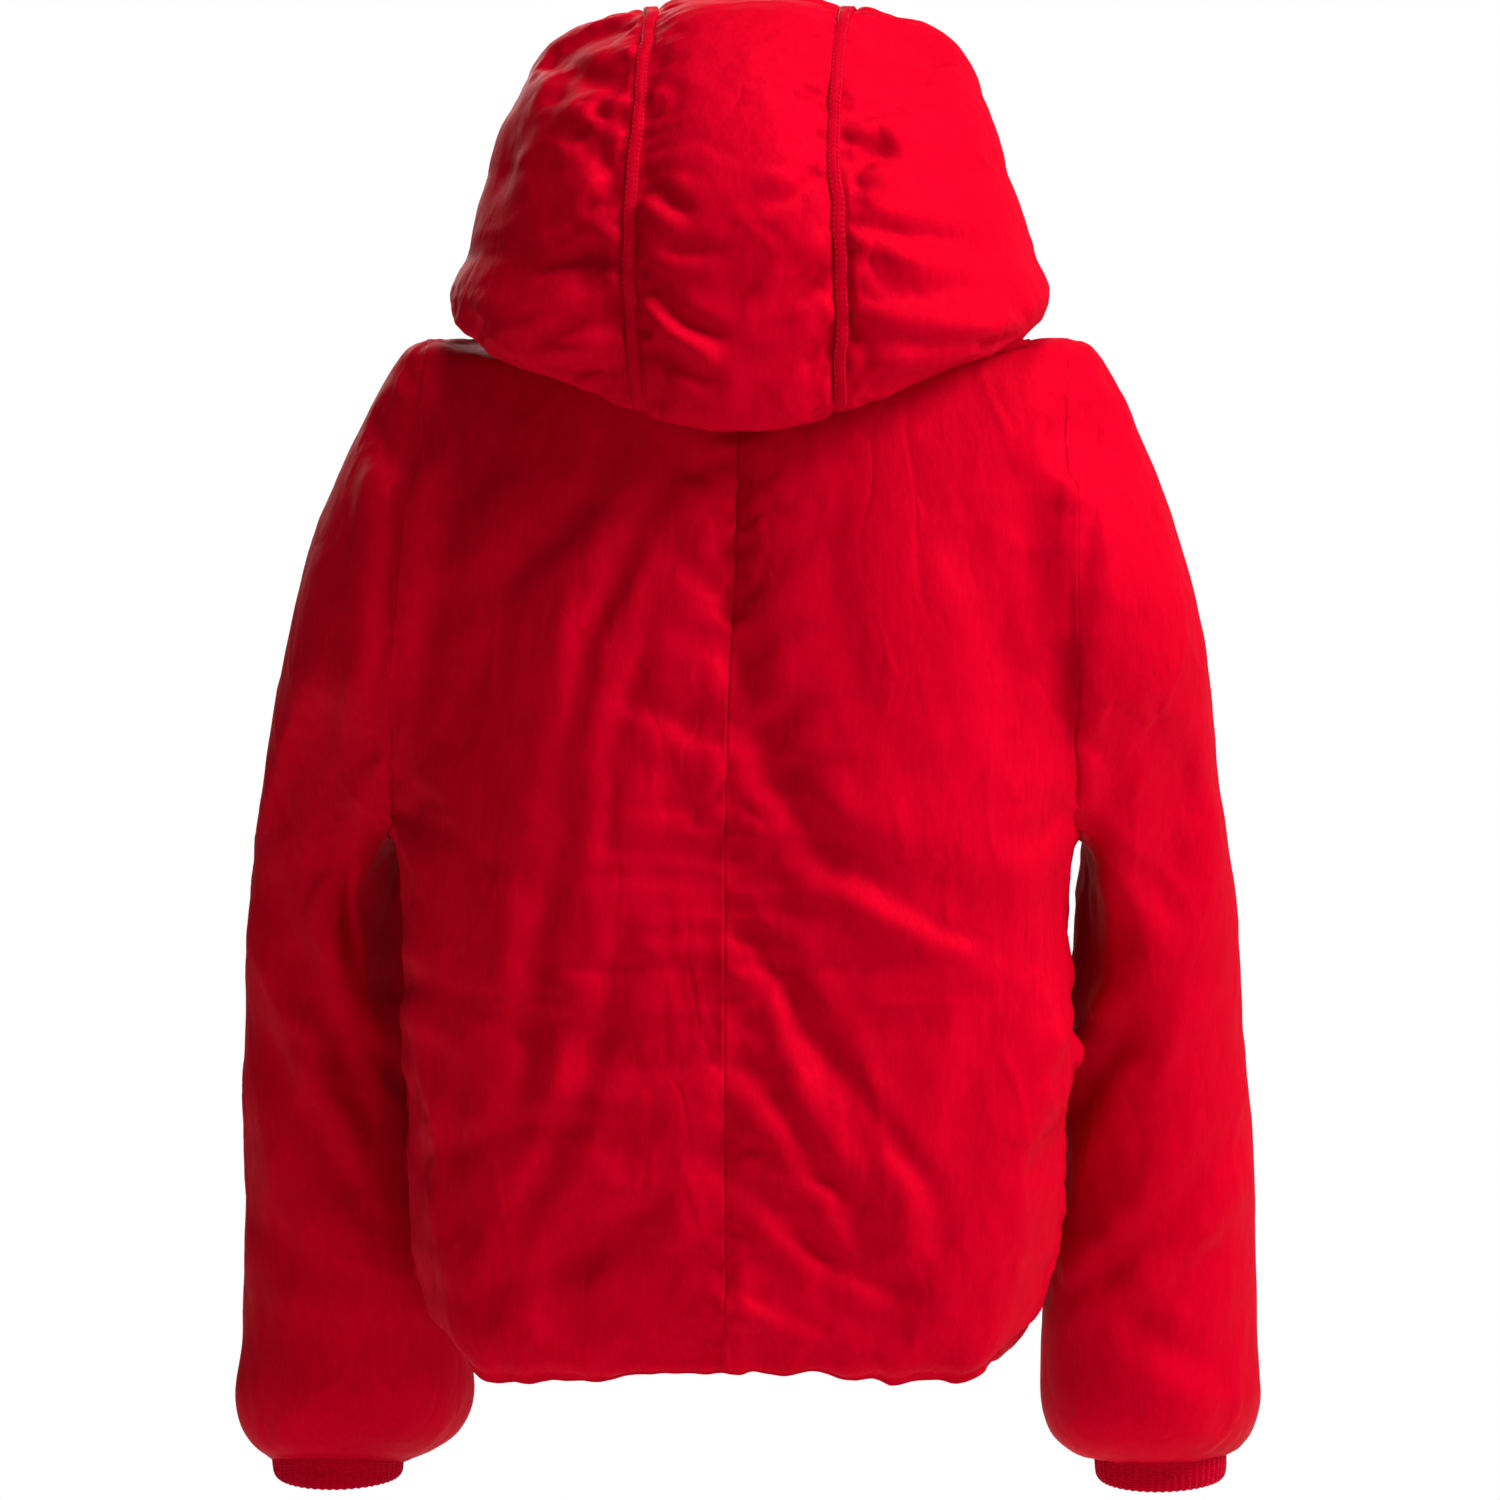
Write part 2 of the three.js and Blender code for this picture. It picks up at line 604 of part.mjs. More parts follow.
// The hem is turned up under the wadding, with an elastic in the fold.
const level = (low, high) => box([-far, -far, low], [far, far, high]);
const hemTurn = garment
  .ply(waddingOut, bagIn)
  .intersect(level(hemZ, hemZ + hemTurnThickness))
  .subtract(frontZipOpening);
const elasticBand = (grow) =>
  garment
    .ply(elasticOut - grow, elasticIn + grow)
    .intersect(level(hemZ + 5 - grow, hemZ + 5 + elasticHeight + grow));

const shellPly = trimmedPly(0, shellIn).subtract(frontZipOpening).subtract(pocketSlots);
const waddingPly = trimmedPly(waddingOut, waddingIn)
  .subtract(box([-far, -far, -far], [far, far, hemZ + hemTurnThickness + plyGap]))
  .subtract(frontRecess)
  .subtract(pocketRecess)
  .subtract(elasticBand(plyGap));
const liningPly = trimmedPly(liningOut, liningIn).subtract(frontRecess);

for (const name of ["left", "right"]) {
  add(`back_shell_${name}`, biggest(quarter(shellPly, half[name], back)), redShell);
  add(`front_shell_${name}`, biggest(quarter(shellPly, half[name], front)), redShell);
  add(`back_wadding_${name}`, biggest(quarter(waddingPly, half[name], back)), whiteWadding);
  add(`front_wadding_${name}`, biggest(quarter(waddingPly, half[name], front)), whiteWadding);
  add(`front_lining_${name}`, biggest(quarter(liningPly, half[name], front)), redLining);
  const sleeveName = `sleeve_${name}`;
  add(`${sleeveName}_shell`, sleevePly(name, 0, shellIn), redShell);
  add(`${sleeveName}_wadding`, sleevePly(name, waddingOut, waddingIn), whiteWadding);
  add(`${sleeveName}_lining`, sleevePly(name, liningOut, liningIn), redLining);
  const sideSign = name === "left" ? 1 : -1;
  const cuffLow = -cuffShowing;
  const cuffTube = cuffForm(sideSign, 0, cuffLow, cuffLow + cuffLength);
  add(`cuff_${name}`, cuffTube.subtract(cuffForm(sideSign, -cuffWall, -far, far)), redRib);
}
add("back_lining", biggest(quarter(liningPly, [-far, far], back)), redLining);
add("hem_turn", bodyAt(hemTurn, 0), redShell);
add("hem_elastic", bodyAt(elasticBand(0).subtract(frontRecess), 0), whiteElastic);

add("collar_shell", collarPly(0, shellIn).subtract(frontZipOpening), redShell);
add("collar_wadding", collarPly(waddingOut, collarWaddingIn).subtract(frontRecess), whiteWadding);
add("collar_lining", collarPly(collarLiningOut, collarLiningIn).subtract(frontRecess), redLining);

for (const [name, [low, high]] of Object.entries(hoodPanels)) {
  add(`hood_shell_${name}`, biggest(slab(hoodPly(0, shellIn, openFace), low, high)), redShell);
  const hoodPad = hoodPly(waddingOut, hoodWaddingIn, openFace);
  add(`hood_wadding_${name}`, biggest(slab(hoodPad, low, high)), whiteWadding);
}
add("hood_lining", biggest(hoodPly(hoodLiningOut, hoodLiningIn, openFace)), redLining);
for (const [name, x] of [["left", hoodSeamX], ["right", -hoodSeamX]]) {
  const strip = hoodPly(-plyGap - seamTapeThickness, -plyGap, openFace);
  add(`hood_seam_tape_${name}`, biggest(slab(strip, x - seamTapeWidth / 2, x + seamTapeWidth / 2)), redShell);
}
// The binding lines the cut edge of the face opening.
const bindingRim = hoodWall
  .ply(0, hoodLiningIn)
  .intersect(faceOpening(bindingReach).subtract(faceOpening(0)))
  .subtract(underHood)
  .subtract(box([-far, -far, -far], [far, far, faceCentreZ - faceHalfHeight + 4]));
add("hood_binding", biggest(bindingRim), redShell);

// Main zip: tapes, tooth rows, stops, box and pin, the flap behind it, and the slider with its pull.
for (const [name, sign] of [["left", 1], ["right", -1]]) {
  const span = (low, high) => (sign > 0 ? [low, high] : [-high, -low]);
  const tapeSpan = span(rowOuterX + 0.3, rowOuterX + 0.3 + zipTapeWidth);
  add(`zip_tape_${name}`, zipBox(tapeSpan, [tapeOut, tapeIn], [zipBottomZ, zipTopZ]), redTape);
  const rowSpan = span(toothRowGap / 2, rowOuterX);
  add(`zip_teeth_${name}`, zipBox(rowSpan, [toothOut, toothIn], [zipBottomZ + 12, zipTopZ - 4]), redTooth);
  add(`zip_top_stop_${name}`, zipBox(rowSpan, [toothOut, toothIn], [zipTopZ - 3.6, zipTopZ]), redMetal);
}
// The box holds the right tape's end, and the pin on the left tape stands beside it.
const boxHeight = 8;
const boxOuterX = -3.6;
const pinHeight = 11.6;
const pinWidth = 1.4;
const endDepth = tapeOut - slide;
const boxX = [boxOuterX, toothRowGap / 2 - 0.1];
const pinX = [toothRowGap / 2, toothRowGap / 2 + pinWidth];
add("zip_box", zipBox(boxX, [toothOut - 0.4, endDepth], [zipBottomZ, zipBottomZ + boxHeight]), redMetal);
add("zip_pin", zipBox(pinX, [toothOut, endDepth], [zipBottomZ, zipBottomZ + pinHeight]), redMetal);
const flapOut = toothIn + slide + plateThickness + clearance;
const flapX = [-flapHalfWidth, flapHalfWidth];
add("zip_flap", zipBox(flapX, [flapOut, flapOut + flapThickness], [zipBottomZ, zipTopZ]), redShell);

const sliderFrame = (frame, z) => frame.clone().multiply(new THREE.Matrix4().makeTranslation(0, 0, z));
const mainSliderFrame = sliderFrame(mainZip, alongZip(zipTopZ - 5 - sliderLength));
add("zip_slider", sliderSolid(mainSliderFrame), redMetal);
add("zip_pull", pullSolid(mainSliderFrame), redMetal);

// Hand pockets: one closed zip each, on one tape piece, with a flat bag behind the wadding.
for (const name of ["left", "right"]) {
  const frame = pocketFrames[name];
  const rowLength = pocketLength / 2 - 3;
  const stripLength = pocketLength / 2 + 5;
  const sides = [
    ["front", -rowOuterX, -toothRowGap / 2],
    ["back", toothRowGap / 2, rowOuterX],
  ];
  for (const [edge, low, high] of sides) {
    const row = box([low, toothOut, -rowLength], [high, toothIn, rowLength], frame);
    const tape = edge === "front" ? [-pocketTapeHalfWidth, low + sink] : [high - sink, pocketTapeHalfWidth];
    const strip = box([tape[0], tapeOut, -stripLength], [tape[1], tapeIn, stripLength], frame);
    add(`pocket_zip_${name}_${edge}`, row.add(strip), redTape);
  }
  const rest = sliderFrame(frame, rowLength - sliderLength - 1);
  add(`pocket_slider_${name}`, sliderSolid(rest), redMetal);
  add(`pocket_pull_${name}`, pullSolid(rest), redMetal);
  const sign = name === "left" ? 1 : -1;
  const middle = new THREE.Vector3().setFromMatrixPosition(frame);
  const reach = [middle.x - sign * (pocketBagWidth - 30), middle.x + sign * 30].sort((a, b) => a - b);
  const bagLow = Math.max(pocketMiddleZ - pocketBagHeight / 2 - 20, hemZ + hemTurnThickness + 30);
  const bag = garment
    .ply(bagOut, bagIn)
    .subtract(frontRecess)
    .intersect(box([reach[0], -far, bagLow], [reach[1], sideSeamY, bagLow + pocketBagHeight]));
  add(`pocket_bag_${name}`, biggest(bag), redLining);
}

// Hanger loop: a strap that stands out from the inside of the back neck, on two legs.
const loopFrontY = collarBackDepth - collarInside - strapWidth - 14;
const loopOuter = loopHalfWidth + strapThickness;
const loopTop = loopHeight + strapThickness;
const loopLegs = box([-loopOuter, loopFrontY, 0], [loopOuter, collarBackDepth, loopTop])
  .subtract(box([-loopHalfWidth, -far, -far], [loopHalfWidth, far, far]))
  .intersect(collarWall.space(collarInside));
const loopRun = box([-loopOuter, loopFrontY, loopHeight], [loopOuter, loopFrontY + strapWidth, loopTop]);
add("hanger_loop", loopLegs.add(loopRun), redTape);

export default jacket;
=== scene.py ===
# %% [markdown]
# # A hooded, padded ski jacket
# The design gives the frame: every ply, zip and joint of the jacket, at its real size. This lesson dresses that frame.
# Each cell makes one piece or one finish. The frame is loaded first, because every later size comes from it.
# %% Load the frame
import math

import bmesh
import bpy
import numpy as np
from mathutils import Matrix, Vector
from mathutils.bvhtree import BVHTree
from mathutils.kdtree import KDTree


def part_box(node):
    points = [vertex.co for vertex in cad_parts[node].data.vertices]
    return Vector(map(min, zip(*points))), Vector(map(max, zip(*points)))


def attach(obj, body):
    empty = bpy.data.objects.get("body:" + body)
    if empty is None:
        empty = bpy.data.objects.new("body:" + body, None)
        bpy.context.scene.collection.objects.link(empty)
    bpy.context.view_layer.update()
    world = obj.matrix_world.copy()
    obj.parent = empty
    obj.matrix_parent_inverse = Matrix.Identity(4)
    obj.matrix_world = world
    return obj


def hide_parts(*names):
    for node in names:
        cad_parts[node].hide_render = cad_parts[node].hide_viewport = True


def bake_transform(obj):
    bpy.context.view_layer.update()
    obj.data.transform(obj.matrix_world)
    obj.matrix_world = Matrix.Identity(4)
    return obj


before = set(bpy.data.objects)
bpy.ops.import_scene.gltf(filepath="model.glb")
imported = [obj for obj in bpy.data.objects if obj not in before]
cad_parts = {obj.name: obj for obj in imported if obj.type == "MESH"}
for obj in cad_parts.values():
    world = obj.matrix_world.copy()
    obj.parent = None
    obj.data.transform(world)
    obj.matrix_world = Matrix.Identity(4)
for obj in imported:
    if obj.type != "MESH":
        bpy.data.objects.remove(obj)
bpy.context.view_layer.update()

# %% [markdown]
# ## Sizes
# The cloth is drawn from the same few sizes as the frame, so it lands on it with no fitting. They are measured on the
# frame's nodes: the back shell gives the jacket's length and width, the hood shells give the hood.
# %% Driving sizes
MM = 0.001
back_low, back_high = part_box("back_shell_left")
hood_mid_low, hood_mid_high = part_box("hood_shell_centre")
length = -back_low.z
chest = back_high.x / 0.995
back_depth = back_high.y
hem_front = -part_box("front_shell_left")[0].y
neck_front = hem_front - 32 * MM
hood_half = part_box("hood_shell_left")[1].x
hood_height = hood_mid_high.z
hood_drop = -hood_mid_low.z
hood_back = hood_mid_high.y
hood_front = 110 * MM
sleeve_drop = -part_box("sleeve_left_shell")[0].z
arm_depth = 88 * MM
shoulder_x = 190 * MM
armhole_bottom = -322 * MM
seam_y = 4 * MM
hood_seam = hood_mid_high.x
zip_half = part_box("front_shell_left")[0].x
print("back length %.3f, chest half width %.3f, hood half width %.3f" % (length, chest, hood_half))


def zip_y(z):
    """The zip line's place from front to back at a height."""
    return -(neck_front - z * (hem_front - neck_front) / length)


# %% [markdown]
# ## Forms
# A padded jacket has almost no straight line in it, so its form is a stack of ovals, like the hoops of a dress stand.
# A body, two sleeves and a hood are each one such stack. The ovals are few, and a smooth curve is drawn through them.
# %% Ovals and lofts
def smooth(stations, rows):
    """The stations' values at even steps, on a curve that never overshoots them."""
    keys = list(stations[0])
    table = np.array([[float(station[key]) for key in keys] for station in stations])
    step = np.diff(table, axis=0)
    slope = np.zeros_like(table)
    slope[1:-1] = np.where(step[:-1] * step[1:] > 0, 2 * step[:-1] * step[1:] / (step[:-1] + step[1:] + 1e-12), 0)
    slope[0], slope[-1] = step[0], step[-1]
    at = np.linspace(0, len(stations) - 1, rows)
    i = np.minimum(at.astype(int), len(stations) - 2)
    t = (at - i)[:, None]
    h00, h10 = 2 * t**3 - 3 * t**2 + 1, t**3 - 2 * t**2 + t
    h01, h11 = -2 * t**3 + 3 * t**2, t**3 - t**2
    values = h00 * table[i] + h10 * slope[i] + h01 * table[i + 1] + h11 * slope[i + 1]
    return [dict(zip(keys, row)) for row in values]


def oval(a, b, side, half, count, wide=0.5, power=2.0, lift=0.0, flat=0.0):
    """A closed outline from a to b. `flat` is how far round, in radians, its a end is pressed flat."""
    a, b, side = (np.array(v, float) for v in (a, b, side))
    t = np.arange(count) * 2 * math.pi / count
    c, s = np.cos(t), np.sin(t)
    across = np.sign(c) * np.abs(c) ** (2 / power) * half
    reach = np.abs(s) ** (2 / power)
    if flat:
        reach = np.where(s < 0, np.minimum(1, reach / math.cos(flat) ** (2 / power)), reach)
    reach = np.where(s > 0, (1 - wide) * reach, -wide * reach) + wide
    points = a + np.outer(reach, b - a) + np.outer(across, side)
    points[:, 2] += lift * c * c
    return points


def loft(rings):
    """(points, faces) of a closed skin through rings of equal count, with a pole at each end."""
    count, rows = len(rings[0]), len(rings)
    points = np.vstack(rings + [rings[0].mean(0), rings[-1].mean(0)])
    faces = []
    for r in range(rows - 1):
        for i in range(count):
            j = (i + 1) % count
            faces.append((r * count + i, r * count + j, (r + 1) * count + j, (r + 1) * count + i))
    for i in range(count):
        j = (i + 1) % count
        faces.append((rows * count, j, i))
        faces.append((rows * count + 1, (rows - 1) * count + i, (rows - 1) * count + j))
    return points, faces


# %% Body, sleeves and hood
body_stations = [
    dict(down=1.06, width=0.93, back=0.83, dome=0),
    dict(down=1.0, width=0.945, back=0.87, dome=0),
    dict(down=0.95, width=0.975, back=0.95, dome=0),
    dict(down=0.58, width=0.995, back=1.0, dome=0),
    dict(down=0.32, width=0.985, back=0.97, dome=0),
    dict(down=0.155, width=0.955, back=0.88, dome=0),
    dict(down=0.07, width=0.885, back=0.76, dome=0.12),
    dict(down=0.03, width=0.74, back=0.65, dome=0.28),
    dict(down=0.0, width=0.5, back=0.55, dome=0.46),
]
sleeve_stations = [
    dict(out=-72, top=0.045, inn=-58, bottom=0.36, y=16, depth=0.68),
    dict(out=-16, top=0.03, inn=-1, bottom=0.46, y=8, depth=0.98),
    dict(out=19, top=0.12, inn=2, bottom=0.472, y=-4, depth=1.02),
    dict(out=53, top=0.23, inn=1, bottom=0.487, y=-18, depth=1.0),
    dict(out=75, top=0.38, inn=-6, bottom=0.52, y=-40, depth=0.94),
    dict(out=88, top=0.52, inn=-16, bottom=0.59, y=-64, depth=0.88),
    dict(out=95, top=0.665, inn=-25, bottom=0.69, y=-84, depth=0.84),
    dict(out=101, top=0.84, inn=-33, bottom=0.845, y=-104, depth=0.8),
    dict(out=103, top=0.94, inn=-28, bottom=0.945, y=-116, depth=0.75),
    dict(out=99, top=0.975, inn=-19, bottom=0.978, y=-121, depth=0.66),
    dict(out=86, top=1.0, inn=4, bottom=1.0, y=-124, depth=0.47),
]
hood_stations = [
    dict(front=0.45, frontUp=-0.95, back=0.4, backUp=-0.4, width=0.45, lift=24),
    dict(front=0.8, frontUp=-0.9, back=0.76, backUp=-0.88, width=0.8, lift=54),
    dict(front=0.96, frontUp=-0.6, back=0.94, backUp=-1.0, width=0.955, lift=58),
    dict(front=1.0, frontUp=-0.15, back=1.0, backUp=-0.6, width=1.0, lift=40),
    dict(front=1.0, frontUp=0.27, back=0.99, backUp=0.08, width=0.975, lift=10),
    dict(front=0.94, frontUp=0.6, back=0.87, backUp=0.5, width=0.86, lift=3),
    dict(front=0.78, frontUp=0.83, back=0.66, backUp=0.8, width=0.7, lift=0),
    dict(front=0.48, frontUp=0.96, back=0.38, backUp=0.96, width=0.46, lift=0),
    dict(front=0.18, frontUp=1.0, back=0.14, backUp=1.0, width=0.2, lift=0),
]
widest_y = 42 * MM


def body_oval(s, count):
    z = -s["down"] * length
    front_y, back_y = zip_y(z) * (1 - s["dome"]), back_depth * s["back"]
    wide = (min(widest_y, back_y * 0.6) - front_y) / (back_y - front_y)
    a, b = (0, front_y, z), (0, back_y, z)
    return oval(a, b, (1, 0, 0), chest * s["width"], count, wide=wide, flat=math.radians(18))


def sleeve_oval(s, count, sign):
    a = (sign * (chest + s["inn"] * MM), s["y"] * MM, -s["bottom"] * sleeve_drop)
    b = (sign * (chest + s["out"] * MM), s["y"] * MM, -s["top"] * sleeve_drop)
    return oval(a, b, (0, sign, 0), s["depth"] * arm_depth, count)


def hood_oval(s, count):
    level = [v * (hood_height if v > 0 else hood_drop) for v in (s["frontUp"], s["backUp"])]
    a, b = (0, -s["front"] * hood_front, level[0]), (0, s["back"] * hood_back, level[1])
    return oval(a, b, (1, 0, 0), hood_half * s["width"], count, power=2.1, lift=s["lift"] * MM)


body_form = loft([body_oval(s, 120) for s in smooth(body_stations, 110)])
sleeve_forms = {
    name: loft([sleeve_oval(s, 72, sign) for s in smooth(sleeve_stations, 110)])
    for name, sign in (("left", 1), ("right", -1))
}
hood_form = loft([hood_oval(s, 110) for s in smooth(hood_stations, 90)])
print("forms: body", len(body_form[0]), "points, hood", len(hood_form[0]), "points")

# %% [markdown]
# ## Helpers for cloth
# Cloth is worked as arrays of points: smoothing, distances to a seam, and a soft noise that the folds are drawn with.
# %% Mesh helpers
def mesh_object(name, points, faces):
    mesh = bpy.data.meshes.new(name)
    mesh.from_pydata([tuple(p) for p in points], [], [tuple(f) for f in faces])
    mesh.update()
    made = bpy.data.objects.new(name, mesh)
    bpy.context.scene.collection.objects.link(made)
    return made


def drop(scratch):
    mesh = scratch.data
    bpy.data.objects.remove(scratch)
    bpy.data.meshes.remove(mesh)


def points_of(mesh):
    co = np.empty(len(mesh.vertices) * 3)
    mesh.vertices.foreach_get("co", co)
    return co.reshape(-1, 3)


def set_points(mesh, co):
    mesh.vertices.foreach_set("co", np.asarray(co, np.float32).ravel())
    mesh.update()


def normals_of(mesh):
    no = np.empty(len(mesh.vertices) * 3)
    mesh.vertex_normals.foreach_get("vector", no)
    return no.reshape(-1, 3)


def edges_of(mesh):
    pairs = np.empty(len(mesh.edges) * 2, int)
    mesh.edges.foreach_get("vertices", pairs)
    return pairs.reshape(-1, 2)


def faced_out(mesh):
    """The mesh with all its faces turned to face outwards."""
    bm = bmesh.new()
    bm.from_mesh(mesh)
    bmesh.ops.recalc_face_normals(bm, faces=bm.faces)
    bm.to_mesh(mesh)
    bm.free()
    return mesh


def relax(co, edges, rounds, held=None, share=0.5):
    """The points moved towards the middle of their neighbours, apart from those held."""
    count = np.bincount(edges.ravel(), minlength=len(co)).clip(1)[:, None]
    free = np.ones(len(co)) if held is None else 1.0 - held
    for _ in range(rounds):
        total = np.zeros_like(co)
        np.add.at(total, edges[:, 0], co[edges[:, 1]])
        np.add.at(total, edges[:, 1], co[edges[:, 0]])
        co = co + (total / count - co) * share * free[:, None]
    return co


def remeshed(forms, voxel, name):
    """One closed, evenly gridded mesh round several closed forms."""
    points, faces, start = [], [], 0
    for p, f in forms:
        points.append(p)
        faces += [tuple(i + start for i in face) for face in f]
        start += len(p)
    scratch = mesh_object(name, np.vstack(points), faces)
    faced_out(scratch.data)
    modifier = scratch.modifiers.new("Remesh", "REMESH")
    modifier.mode, modifier.voxel_size = "VOXEL", voxel
    mesh = bpy.data.meshes.new_from_object(scratch.evaluated_get(bpy.context.evaluated_depsgraph_get()))
    drop(scratch)
    set_points(mesh, relax(points_of(mesh), edges_of(mesh), 6))
    return mesh


# %% Noise and distances
def noise(points, size, seed=0):
    """Smooth noise from about -1 to 1. `size` is its wavelength in metres, along x, y and z."""
    total = np.zeros(len(points))
    for layer in range(2):
        turn = np.array(Matrix.Rotation(0.9 + seed + 1.7 * layer, 3, Vector((0.4 + layer, 0.7, 1 - 0.3 * layer))))
        p = (np.asarray(points) / np.array(size)) @ turn.T * (1 + 0.27 * layer) + 31.7 * (seed + 3 * layer) + 1000
        cell = np.floor(p).astype(np.int64)
        f = p - cell
        f = f * f * f * (f * (f * 6 - 15) + 10)
        for corner in range(8):
            off = np.array([corner & 1, corner >> 1 & 1, corner >> 2 & 1])
            q = cell + off
            h = (q[:, 0] * 73856093) ^ (q[:, 1] * 19349663) ^ (q[:, 2] * 83492791)
            h = (h ^ (h >> 13)) * 1274126177 & 0x7FFFFFFF
            total += (h / 0x7FFFFFFF * 2 - 1) * np.prod(np.where(off, f, 1 - f), axis=1)
    return total * 1.15


def distances(points, marks):
    """Each point's distance to the nearest of some marks."""
    tree = KDTree(len(marks))
    for i, mark in enumerate(marks):
        tree.insert(mark, i)
    tree.balance()
    return np.array([tree.find(p)[2] for p in points])


def unit(v):
    return v / np.maximum(np.linalg.norm(v, axis=-1, keepdims=True), 1e-12)


def bell(distance, width):
    return np.exp(-((distance / width) ** 2))


# %% [markdown]
# ## Cutting the panels
# The jacket is sewn from panels: two backs, two fronts, two sleeves. The whole form is gridded in one piece first, so
# that the cloth is one weave across every seam, and the seams are then cut into it as exact lines.
# %% Seam planes and panel labels
armhole_tilt = math.atan2(chest - 1 * MM - shoulder_x, -armhole_bottom)
armhole_normal = {s: Vector((s * math.cos(armhole_tilt), 0, math.sin(armhole_tilt))) for s in (1, -1)}
armhole_point = {s: Vector((s * shoulder_x, 0, 0)) for s in (1, -1)}


def cut(bm, faces, point, normal, snap=1.8 * MM):
    """A line of edges along a plane through these faces, with near points drawn on to it."""
    geometry = list(faces) + list({v for f in faces for v in f.verts}) + list({e for f in faces for e in f.edges})
    bmesh.ops.bisect_plane(bm, geom=geometry, dist=snap, plane_co=point, plane_no=normal)
    normal, point = Vector(normal).normalized(), Vector(point)
    for v in {v for f in faces if f.is_valid for v in f.verts}:
        gap = (v.co - point).dot(normal)
        if abs(gap) <= snap:
            v.co -= normal * gap


def middle(face):
    return face.calc_center_median()


def beyond_armhole(p):
    """1 or -1 if a point lies past the left or right armhole plane, else 0."""
    if p.z < armhole_bottom:
        return 0
    for sign in (1, -1):
        if (Vector(p) - armhole_point[sign]).dot(armhole_normal[sign]) > 0:
            return sign
    return 0


def tree_of(form):
    return BVHTree.FromPolygons([tuple(p) for p in form[0]], form[1])


def outward(form):
    """The form's faces, all turned to face outwards."""
    scratch = mesh_object("turning", *form)
    bm = bmesh.new()
    bm.from_mesh(scratch.data)
    bmesh.ops.recalc_face_normals(bm, faces=bm.faces)
    tree = BVHTree.FromBMesh(bm)
    bm.free()
    drop(scratch)
    return tree


body_outward = outward(body_form)


def beside_body(form, gap=16 * MM, fade=20 * MM):
    """A sleeve whose inner side, below the armhole, lies beside the body instead of running through it."""
    points = []
    for p in form[0]:
        p = Vector(p)
        place, normal, _, far = body_outward.find_nearest(p)
        inside = (p - place).dot(normal) < 0
        missing = max(0.0, gap + far if inside else gap - far)
        share = max(0.0, min(1.0, (armhole_bottom - p.z) / fade))
        points.append(tuple(p + normal * missing * share))
    return points, form[1]


sleeve_forms = {name: beside_body(form) for name, form in sleeve_forms.items()}
body_tree = tree_of(body_form)
sleeve_trees = {1: tree_of(sleeve_forms["left"]), -1: tree_of(sleeve_forms["right"])}


def body_label(p):
    """The panel that a point of the body belongs to."""
    sign = beyond_armhole(p)
    side = 1 if p.x > 0 else -1
    if not sign and p.z < armhole_bottom:
        if sleeve_trees[side].find_nearest(p)[3] < body_tree.find_nearest(p)[3]:
            sign = side
    name = "left" if side > 0 else "right"
    if sign:
        return "sleeve_" + name
    return ("back_" if p.y > seam_y else "front_") + name


# %% Body cloth, cut and labelled
grid = 5 * MM
body_mesh = remeshed([body_form, *sleeve_forms.values()], grid, "body")
co = points_of(body_mesh)
shoulder = np.clip(1.25 - np.hypot((np.abs(co[:, 0]) - 0.185) / 0.075, (co[:, 2] + 0.035) / 0.075), 0, 1)
set_points(body_mesh, relax(co, edges_of(body_mesh), 30, held=1 - np.clip(shoulder * 2, 0, 1)))
bm = bmesh.new()
bm.from_mesh(body_mesh)
torso = [f for f in bm.faces if not beyond_armhole(middle(f)) and body_label(middle(f))[0] != "s"]
cut(bm, [f for f in torso if abs(middle(f).x) < 20 * MM and middle(f).y > 0], (0, 0, 0), (1, 0, 0))
for sign in (1, -1):
    by_zip = [f for f in torso if f.is_valid and abs(middle(f).x) < 30 * MM and middle(f).y < 0]
    cut(bm, by_zip, (sign * zip_half, 0, 0), (1, 0, 0))
for sign in (1, -1):
    near = [f for f in bm.faces if middle(f).x * sign > 0.15 and middle(f).z > armhole_bottom - 4 * MM]
    cut(bm, near, armhole_point[sign], armhole_normal[sign])
labels = {f: body_label(middle(f)) for f in bm.faces}
by_side = [f for f in bm.faces if labels.get(f, "s")[0] != "s" and abs(middle(f).y - seam_y) < 20 * MM]
cut(bm, by_side, (0, seam_y, 0), (0, 1, 0))
cut(bm, [f for f in bm.faces if abs(middle(f).z + length) < 20 * MM], (0, 0, -length), (0, 0, 1))


# %% [markdown]
# A hand pocket is a slot in each front panel, closed by its own zip. The slot lies flat on the front, so it has a frame
# of its own: across it, into the jacket, and up along it. The slot is cut on that frame's planes.
# %% Pocket frames and their slots
pocket_half_length = 80 * MM
pocket_slot_half = 6.1 * MM


def pocket_frame(sign):
    """The pocket's own axes (across, inwards, up) and middle. The right one mirrors the left."""
    across = Vector((0.75421, 0.65582, -0.03273))
    inwards = Vector((-0.65653, 0.75405, -0.01941))
    up = Vector((0.01196, 0.03613, 0.99928))
    place = Vector((141.405, -81.007, -490.01)) * MM
    for v in (across, inwards, up, place):
        v.x *= sign
    return Matrix((across, inwards, up)).transposed().to_4x4(), place


